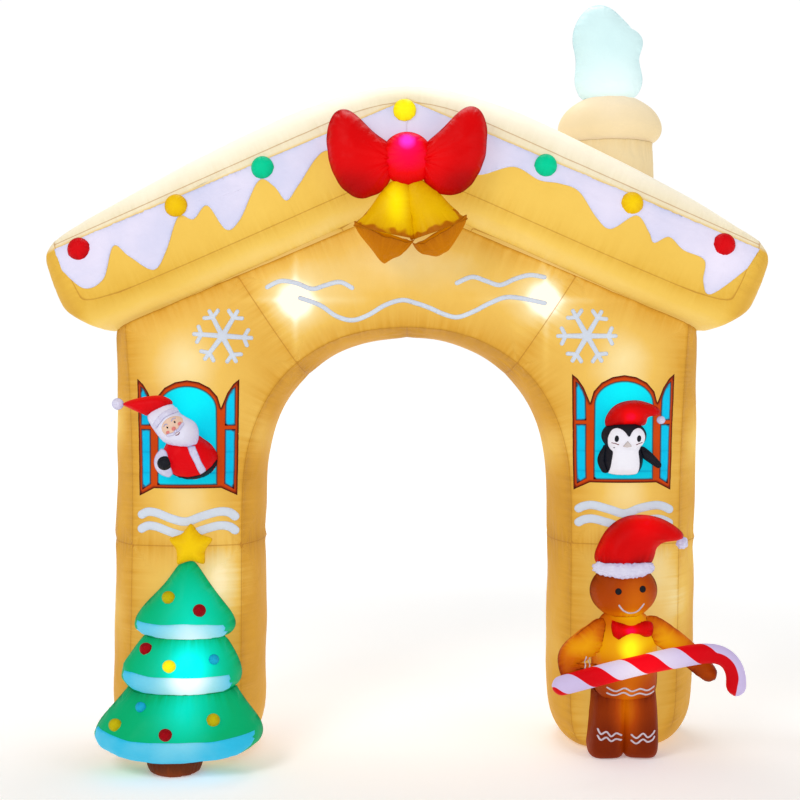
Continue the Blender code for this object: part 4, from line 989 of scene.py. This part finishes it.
# ---------------------------------------------------------------- the penguin
# A stuffed penguin in black and white cloth with a red hat, leaning out of the right window
# on its wings.
hat_cloth = lit_cloth("hat cloth", (0.27, 0.0008, 0.001), BOW_GLOWS,
                      [((0.93, -0.2, 0.95), (0.07, 0.3, 0.05), 0.22),
                       ((0.869, -0.2, 1.355), (0.045, 0.3, 0.04), 0.36)], level=0.36,
                      seam_shade=0.35)
PENGUIN_CLOTHS = {
    "penguin_body": black_cloth, "penguin_head": black_cloth, "penguin_hat": hat_cloth,
    "penguin_pompom": white_cloth, "penguin_wing_right": black_cloth,
    "penguin_wing_left": black_cloth,
}
penguin = {name: stuff(name, cloth, depth=0.003, pitch=0.016, reach=0.012, slack=0.002)
           for name, cloth in PENGUIN_CLOTHS.items()}
PENGUIN_FRONT = (
    (0.8605, 1.2870), (0.8559, 1.2901), (0.8462, 1.3036), (0.8308, 1.3151), (0.8135, 1.3182),
    (0.7981, 1.3113), (0.7866, 1.2940), (0.7827, 1.2747), (0.7866, 1.2535), (0.7962, 1.2343),
    (0.8039, 1.2247), (0.8008, 1.1977), (0.7970, 1.1669), (0.7943, 1.1457), (0.7981, 1.1361),
    (0.8462, 1.1315), (0.9001, 1.1353), (0.9059, 1.1457), (0.9086, 1.1669), (0.9071, 1.1977),
    (0.9040, 1.2247), (0.9155, 1.2381), (0.9252, 1.2555), (0.9290, 1.2747), (0.9252, 1.2959),
    (0.9155, 1.3113), (0.9001, 1.3182), (0.8828, 1.3132), (0.8713, 1.3017), (0.8655, 1.2901))
shirt_cloth = lit_cloth("shirt cloth", (0.46, 0.45, 0.47),
                        ((0.35, 0.33, 0.42), (0.46, 0.45, 0.50), (0.55, 0.54, 0.56)),
                        seam_shade=0.15, pleat_reach=0.004, seam_width=0.0012, seam_dark=0.5)
penguin_skins = [penguin["penguin_body"], penguin["penguin_head"]]
front = [tuple(spot) for spot in catmull(PENGUIN_FRONT, 3, closed=True)]
lay_cloth("penguin_front", [front], penguin_skins, shirt_cloth, step=0.006)
PENGUIN_EYES = [oval(x, 1.2790, 0.0083, 0.0125, 16) for x in (0.8135, 0.8994)]
lay_cloth("penguin_eyes", PENGUIN_EYES, penguin_skins, black_cloth,
          lift=0.0018, step=0.004)
PENGUIN_CHEEKS = (((0.7975, 1.2628), (0.8095, 1.2606), (0.8225, 1.2556)),
                  ((0.8905, 1.2556), (0.9030, 1.2606), (0.9155, 1.2632)))
lay_cloth("penguin_cheeks", [strip(path, 0.0030) for path in PENGUIN_CHEEKS], penguin_skins,
          lip_cloth, thickness=0.0008, lift=0.0018, step=0.004)
PENGUIN_BEAK = ((0.8395, 1.2500), (0.8475, 1.2615), (0.8559, 1.2705), (0.8640, 1.2615),
                (0.8722, 1.2510), (0.8559, 1.2465))
beak_cloth = lit_cloth("beak cloth", (0.40, 0.36, 0.34),
                       ((0.28, 0.24, 0.24), (0.36, 0.32, 0.32), (0.44, 0.40, 0.38)),
                       seam_width=0.0016, seam_dark=0.5)
lay_cloth("penguin_beak", [PENGUIN_BEAK], penguin_skins, beak_cloth,
          thickness=0.007, lift=0.0018, step=0.004, dome=0.012)


# ---------------------------------------------------------------- the tree
# Three full tiers of green cloth, each overhanging the next, on a brown trunk, with a yellow
# star and nine stuffed balls.  A lamp in the middle tier shows bluish white.
TREE_GLOWS = ((0.0, 0.09, 0.025), (0.0, 0.30, 0.11), (0.0, 0.56, 0.40), (0.0, 0.95, 0.92))
TREE_LAMPS = [((-0.83, -0.40, 0.405), (0.085, 0.25, 0.085), 0.62),
              ((-0.83, -0.40, 0.41), (0.16, 0.25, 0.16), 0.18),
              ((-0.84, -0.45, 0.25), (0.10, 0.25, 0.11), 0.36),
              ((-0.82, -0.35, 0.60), (0.11, 0.25, 0.16), 0.34)]
tree_cloth = lit_cloth("tree cloth", (0.0, 0.17, 0.065), TREE_GLOWS, TREE_LAMPS, level=0.32,
                       mottle=0.15, seam_shade=0.3, seam_dark=0.8)
tiers = {name: stuff(name, tree_cloth, depth=0.010, pitch=0.035, reach=0.025, slack=0.008)
         for name in ("tree_top", "tree_middle", "tree_bottom")}
# a band of white cloth along the foot of each tier, its ends cut ragged
SNOW_BANDS = {
    "tree_top": (
        (-1.0457, 0.5742), (-0.9468, 0.5709), (-0.8534, 0.5742), (-0.7710, 0.5698),
        (-0.7105, 0.5615), (-0.7060, 0.5560), (-0.7023, 0.5505), (-0.7078, 0.5368),
        (-0.6960, 0.5310), (-0.7215, 0.5010), (-0.8534, 0.5060), (-1.0017, 0.5030),
        (-1.0402, 0.5203), (-1.0539, 0.5368), (-1.0410, 0.5460), (-1.0484, 0.5615)),
    "tree_middle": (
        (-1.0896, 0.3885), (-1.0512, 0.3912), (-0.9852, 0.3830), (-0.8534, 0.3775),
        (-0.7600, 0.3802), (-0.6831, 0.3786), (-0.6776, 0.3610), (-0.6820, 0.3560),
        (-0.6803, 0.3473), (-0.6720, 0.3440), (-0.6860, 0.3190), (-0.7160, 0.3010),
        (-0.8534, 0.2980), (-1.0017, 0.3060), (-1.0490, 0.3190), (-1.0860, 0.3500),
        (-1.0970, 0.3692)),
    "tree_bottom": (
        (-1.1880, 0.1740), (-1.1500, 0.1730), (-1.0500, 0.1610), (-0.9650, 0.1540),
        (-0.8600, 0.1520), (-0.7520, 0.1550), (-0.6690, 0.1610), (-0.5840, 0.1690),
        (-0.5830, 0.1560), (-0.5900, 0.1480), (-0.5830, 0.1400), (-0.5960, 0.1180),
        (-0.6520, 0.0740), (-0.7380, 0.0530), (-0.8479, 0.0450), (-0.9248, 0.0550),
        (-1.0017, 0.0580), (-1.0951, 0.0770), (-1.1640, 0.1060), (-1.1990, 0.1350),
        (-1.1990, 0.1632)),
}
SNOW_GLOWS = ((0.0, 0.20, 0.34), (0.0, 0.32, 0.52), (0.36, 0.60, 0.62), (0.95, 0.90, 0.90))
snow_cloth = lit_cloth("snow cloth", (0.04, 0.25, 0.34), SNOW_GLOWS, TREE_LAMPS, level=0.36,
                       mottle=0.25, seam_shade=0.1, pleat_reach=0.006, seam_width=0.0012,
                       seam_dark=0.2)
for name, outline in SNOW_BANDS.items():
    lay_cloth("snow_" + name, [outline], [tiers[name]], snow_cloth,
              thickness=0.0018)
BROWN_GLOWS = ((0.05, 0.0, 0.0), (0.27, 0.035, 0.0), (0.48, 0.12, 0.001),
               (0.68, 0.34, 0.002), (1.0, 0.95, 0.01))
trunk_cloth = lit_cloth("trunk cloth", (0.14, 0.045, 0.012), BROWN_GLOWS, level=0.12)
stuff("tree_trunk", trunk_cloth, depth=0.008, pitch=0.022, reach=0.020, slack=0.006,
      is_seam=seam_over(50))
stuff("tree_star", yellow_cloth, depth=0.004, pitch=0.015, reach=0.012)
blue_cloth = lit_cloth("blue cloth", (0.005, 0.25, 0.38),
                       ((0.0, 0.10, 0.22), (0.01, 0.28, 0.42), (0.05, 0.50, 0.65)))
dark_red_cloth = lit_cloth("dark red cloth", (0.22, 0.001, 0.006), RED_GLOWS, level=0.22)
lemon_cloth = lit_cloth("lemon cloth", (0.32, 0.27, 0.003),
                        ((0.16, 0.11, 0.0), (0.36, 0.31, 0.0), (0.62, 0.58, 0.0)))
BALL_CLOTHS = (lemon_cloth, dark_red_cloth, dark_red_cloth, bright_yellow_cloth, blue_cloth,
               blue_cloth, lemon_cloth, dark_red_cloth, lemon_cloth)
BLUE_BALL_SIZE = 0.8               # of the others
for number, cloth in enumerate(BALL_CLOTHS, start=1):
    bauble = smooth_skin(f"tree_ball_{number}", turns_back)
    if cloth is blue_cloth:
        resize(bauble, BLUE_BALL_SIZE)
    pucker(bauble, depth=0.002, pitch=0.008, reach=0.006)
    dress(bauble, cloth)


# ---------------------------------------------------------------- the gingerbread man
# Stuffed brown cloth with a lamp in the chest and one in the legs, a red hat with a white
# fluffy brim and a red bow tie.
brown_cloth = lit_cloth("gingerbread cloth", (0.20, 0.026, 0.0005), BROWN_GLOWS,
                        [((0.865, -0.25, 0.455), (0.040, 0.25, 0.070), 0.30),
                         ((0.865, -0.25, 0.470), (0.16, 0.25, 0.10), 0.46),
                         ((0.865, -0.25, 0.20), (0.045, 0.25, 0.13), 0.42),
                         ((0.862, -0.25, 0.585), (0.10, 0.25, 0.022), 0.25),
                         ((0.66, -0.20, 0.47), (0.10, 0.25, 0.10), 0.42),
                         ((1.04, -0.20, 0.50), (0.11, 0.25, 0.08), 0.36),
                         ((0.89, -0.20, 0.66), (0.065, 0.25, 0.12), 0.28),
                         # painted shade: darker towards the top of the head and the feet
                         ((0.862, -0.25, 0.76), (0.30, 0.25, 0.10), -0.14),
                         ((0.865, -0.25, 0.08), (0.40, 0.25, 0.17), -0.30)],
                        level=0.26, mottle=0.15, seam_shade=0.35, seam_dark=0.7)
tie_cloth = lit_cloth("tie cloth", (0.27, 0.0008, 0.001), BOW_GLOWS,
                      [((0.869, -0.3, 0.532), (0.028, 0.3, 0.022), 0.35)], level=0.45,
                      seam_shade=0.3)
MAN_CLOTHS = {
    "man_body": brown_cloth, "man_head": brown_cloth, "man_leg_left": brown_cloth,
    "man_leg_right": brown_cloth, "man_arm_left": brown_cloth, "man_arm_right": brown_cloth,
    "man_hat": hat_cloth, "man_brim": white_cloth, "man_pompom": white_cloth,
    "man_bow_tie": tie_cloth,
}
man = {name: stuff(name, cloth, depth=0.004, pitch=0.025, reach=0.018, slack=0.004)
       for name, cloth in MAN_CLOTHS.items()}
# the body's foot hangs over the legs, the legs press together, and the left arm is wide where
# it lies against the body
WAIST_Z = 0.42
WAIST_DROP = 0.030
LEG_PRESS = 0.010
HAND_Z = 0.425
HAND_PRESS = 0.045
for vertex in man["man_body"].data.vertices:
    vertex.co.z -= WAIST_DROP * min(1.0, max(0.0, (WAIST_Z - vertex.co.z) / 0.15))
for name, way in (("man_leg_left", 1), ("man_leg_right", -1)):
    for vertex in man[name].data.vertices:
        vertex.co.x += way * LEG_PRESS * max(0.0, way * vertex.normal.x) ** 0.5
for vertex in man["man_arm_left"].data.vertices:
    near_hand = math.exp(-((vertex.co.z - HAND_Z) / 0.045) ** 2)
    vertex.co.x += HAND_PRESS * near_hand * max(0.0, vertex.normal.x)


def fluff(piece, depth, pitch):
    """Stands the skin up in tufts, as on long pile."""
    moves = [vertex.normal * depth * noise.noise(vertex.co / pitch)
             for vertex in piece.data.vertices]
    for vertex, move in zip(piece.data.vertices, moves):
        vertex.co += move


for piece in (man["man_brim"], man["man_pompom"]):
    fluff(piece, depth=0.006, pitch=0.011)
man_head = man["man_head"]
lay_cloth("man_eyes", [oval(0.819, 0.687, 0.0128, 0.0128), oval(0.914, 0.695, 0.0128, 0.0128)],
          [man_head], black_cloth, step=0.005)
piping_cloth = lit_cloth("piping cloth", (0.42, 0.40, 0.42),
                         ((0.28, 0.22, 0.26), (0.40, 0.34, 0.38), (0.50, 0.46, 0.48)),
                         seam_width=0.001, seam_dark=0.3)
SMILE = ((0.823, 0.632), (0.842, 0.609), (0.869, 0.597), (0.897, 0.605), (0.920, 0.636))
lay_cloth("man_smile", [strip(SMILE, 0.0065)], [man_head], piping_cloth,
          step=0.006)
PIPING_WIDTH = 0.0072
FINGER_WIDTH = 0.005
WAIST_LINES = (
    ((0.783, 0.304), (0.814, 0.293), (0.845, 0.308), (0.876, 0.293), (0.907, 0.304),
     (0.938, 0.293), (0.969, 0.301)),
    ((0.783, 0.281), (0.814, 0.273), (0.845, 0.287), (0.876, 0.271), (0.907, 0.283),
     (0.938, 0.273), (0.969, 0.279)))
ANKLE_LINES = {
    "left": (((0.752, 0.129), (0.764, 0.110), (0.784, 0.121), (0.803, 0.102), (0.823, 0.114),
              (0.846, 0.102)),
             ((0.752, 0.102), (0.764, 0.086), (0.784, 0.098), (0.803, 0.082), (0.823, 0.090),
              (0.846, 0.082))),
    "right": (((0.885, 0.106), (0.904, 0.094), (0.928, 0.114), (0.947, 0.098), (0.967, 0.110),
               (0.975, 0.121)),
              ((0.885, 0.082), (0.904, 0.071), (0.928, 0.090), (0.947, 0.079), (0.967, 0.086),
               (0.975, 0.098))),
}
FINGER_LINES = (((0.688, 0.390), (0.695, 0.409), (0.699, 0.425)),
                ((0.703, 0.386), (0.711, 0.405), (0.714, 0.416)))
lay_cloth("man_waist_lines", [strip(path, PIPING_WIDTH) for path in WAIST_LINES],
          [man["man_body"], man["man_leg_left"], man["man_leg_right"]],
          piping_cloth, step=0.006)
for side, paths in ANKLE_LINES.items():
    lay_cloth(f"man_ankle_lines_{side}", [strip(path, PIPING_WIDTH) for path in paths],
              [man["man_leg_" + side]], piping_cloth, step=0.006)
lay_cloth("man_finger_lines", [strip(path, FINGER_WIDTH) for path in FINGER_LINES],
          [man["man_arm_left"]], piping_cloth, step=0.005)


# ---------------------------------------------------------------- the candy cane
# A long stuffed tube, sewn from red and white strips that wind round it, with a hooked end.
CANE_LINE = ((0.600, 0.328), (0.733, 0.364), (0.847, 0.393), (0.950, 0.415), (1.060, 0.436),
             (1.142, 0.451), (1.205, 0.449), (1.249, 0.420), (1.271, 0.372), (1.270, 0.330))
CANE_PITCH = 0.21
CANE_PHASE = -2.5
CANE_HOOK_AT = 0.60                # along the cane, where the strips run nearly straight on
HOOK_PITCH = 3.0
cane = smooth_skin("candy_cane", seam_over(70))
cane_low, cane_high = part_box("candy_cane")
cane_y = (cane_low.y + cane_high.y) / 2
cane_axis = catmull(CANE_LINE, 10)
cane_run = [0.0]                   # the length of the axis up to each of its points
for a, b in zip(cane_axis, cane_axis[1:]):
    cane_run.append(cane_run[-1] + (b - a).length)
axis_tree = KDTree(len(cane_axis))
for number, spot in enumerate(cane_axis):
    axis_tree.insert((spot.x, 0.0, spot.y), number)
axis_tree.balance()


def stripe_at(vertex):
    """Above zero on a red strip, below it on a white one."""
    point = vertex.co
    nearest = axis_tree.find((point.x, 0.0, point.z))[1]
    before = cane_axis[max(nearest - 1, 0)]
    after = cane_axis[min(nearest + 1, len(cane_axis) - 1)]
    forward = (after - before).normalized()
    offset = Vector((point.x, point.z)) - cane_axis[nearest]
    along = cane_run[nearest] + offset.dot(forward)
    across = offset.dot(Vector((-forward.y, forward.x)))
    turn = math.atan2(across, cane_y - point.y)
    wound = min(along, CANE_HOOK_AT) / CANE_PITCH + max(0.0, along - CANE_HOOK_AT) / HOOK_PITCH
    return math.sin(math.tau * wound + turn + CANE_PHASE)


mark(cane, "stripe", stripe_at)
pucker(cane, depth=0.004, pitch=0.02, reach=0.02, slack=0.004)
CANE_WHITE_GLOWS = ((0.18, 0.13, 0.36), (0.32, 0.25, 0.42), (0.62, 0.56, 0.54))
# painted light where the cane crosses the gingerbread man's chest lamp
dress(cane, lit_cloth("cane cloth", (0.38, 0.34, 0.45), CANE_WHITE_GLOWS,
                      [((0.90, -0.3, 0.40), (0.16, 0.3, 0.12), 0.40)], level=0.42,
                      second=("stripe", (0.29, 0.001, 0.004), RED_GLOWS)))


# ---------------------------------------------------------------- floor, light and camera
# A plain pale floor that fades to white, soft light from above and the front, and the camera
# level with the gable, 5.6 m in front of the wall.
FLOOR_RADIUS = 30.0
FLOOR_FADE = (2.0, 7.0)            # from its own pale colour to white, out from the arch
FLOOR_GLOW_NEAR = 0.26
FLOOR_GLOW_FAR = 0.75
SKY_LIGHT = 0.40
SKY_SEEN_MORE = 0.62               # added where the camera sees the sky itself
CAMERA_PLACE = (0.0, -5.744, 1.677)
CAMERA_LENS = 63.25
CAMERA_SHIFT = (-0.00875, -0.08)


def make_floor():
    """A wide round floor that the object stands on."""
    shape = bmesh.new()
    bmesh.ops.create_circle(shape, cap_ends=True, segments=64, radius=FLOOR_RADIUS)
    mesh = bpy.data.meshes.new("floor")
    shape.to_mesh(mesh)
    shape.free()
    floor = bpy.data.objects.new("floor", mesh)
    bpy.context.scene.collection.objects.link(floor)
    material = bpy.data.materials.new("pale floor")
    material.use_nodes = True
    tree = material.node_tree
    shader = tree.nodes["Principled BSDF"]
    place = add(tree, "ShaderNodeTexCoord").outputs["Object"]
    radius = add(tree, "ShaderNodeVectorMath", {0: place}, operation="LENGTH").outputs["Value"]
    far = add(tree, "ShaderNodeMapRange",
              {"Value": radius, "From Min": FLOOR_FADE[0], "From Max": FLOOR_FADE[1]},
              interpolation_type="SMOOTHSTEP").outputs[0]
    shader.inputs["Base Color"].default_value = (0.92, 0.92, 0.92, 1)
    shader.inputs["Roughness"].default_value = 0.8
    near_colour, far_colour = ((grey, grey, grey, 1) for grey in (FLOOR_GLOW_NEAR,
                                                                  FLOOR_GLOW_FAR))
    glow = mix(tree, far, near_colour, far_colour)
    tree.links.new(glow, shader.inputs["Emission Color"])
    shader.inputs["Emission Strength"].default_value = 1.0
    floor.data.materials.append(material)


def add_light(name, place, target, size, power):
    """A round soft light turned to its target."""
    lamp = bpy.data.lights.new(name, "AREA")
    lamp.shape = "DISK"
    lamp.size = size
    lamp.energy = power
    holder = bpy.data.objects.new(name, lamp)
    bpy.context.scene.collection.objects.link(holder)
    holder.location = place
    holder.rotation_euler = (Vector(target) - Vector(place)).to_track_quat("-Z", "Y").to_euler()


make_floor()
add_light("key", (-3.2, -4.5, 4.6), (0, 0, 1.2), 2.5, 150)
add_light("fill", (4.0, -4.0, 2.6), (0, 0, 1.2), 3.0, 60)
add_light("top", (0.0, 1.5, 5.5), (0, 0, 1.0), 3.0, 120)

world = bpy.data.worlds.new("studio")
bpy.context.scene.world = world
world.use_nodes = True
world_tree = world.node_tree
sky = world_tree.nodes["Background"]
sky.inputs["Color"].default_value = (1.0, 1.0, 1.0, 1.0)
seen = add(world_tree, "ShaderNodeLightPath").outputs["Is Camera Ray"]
strength = maths(world_tree, "MULTIPLY_ADD", seen, SKY_SEEN_MORE, SKY_LIGHT)
world_tree.links.new(strength, sky.inputs["Strength"])

camera = bpy.data.cameras.new("camera")
camera.lens = CAMERA_LENS
camera.sensor_width = 36.0
camera.shift_x, camera.shift_y = CAMERA_SHIFT
camera_holder = bpy.data.objects.new("camera", camera)
bpy.context.scene.collection.objects.link(camera_holder)
camera_holder.location = CAMERA_PLACE
camera_holder.rotation_euler = (math.radians(90), 0.0, 0.0)
bpy.context.scene.camera = camera_holder
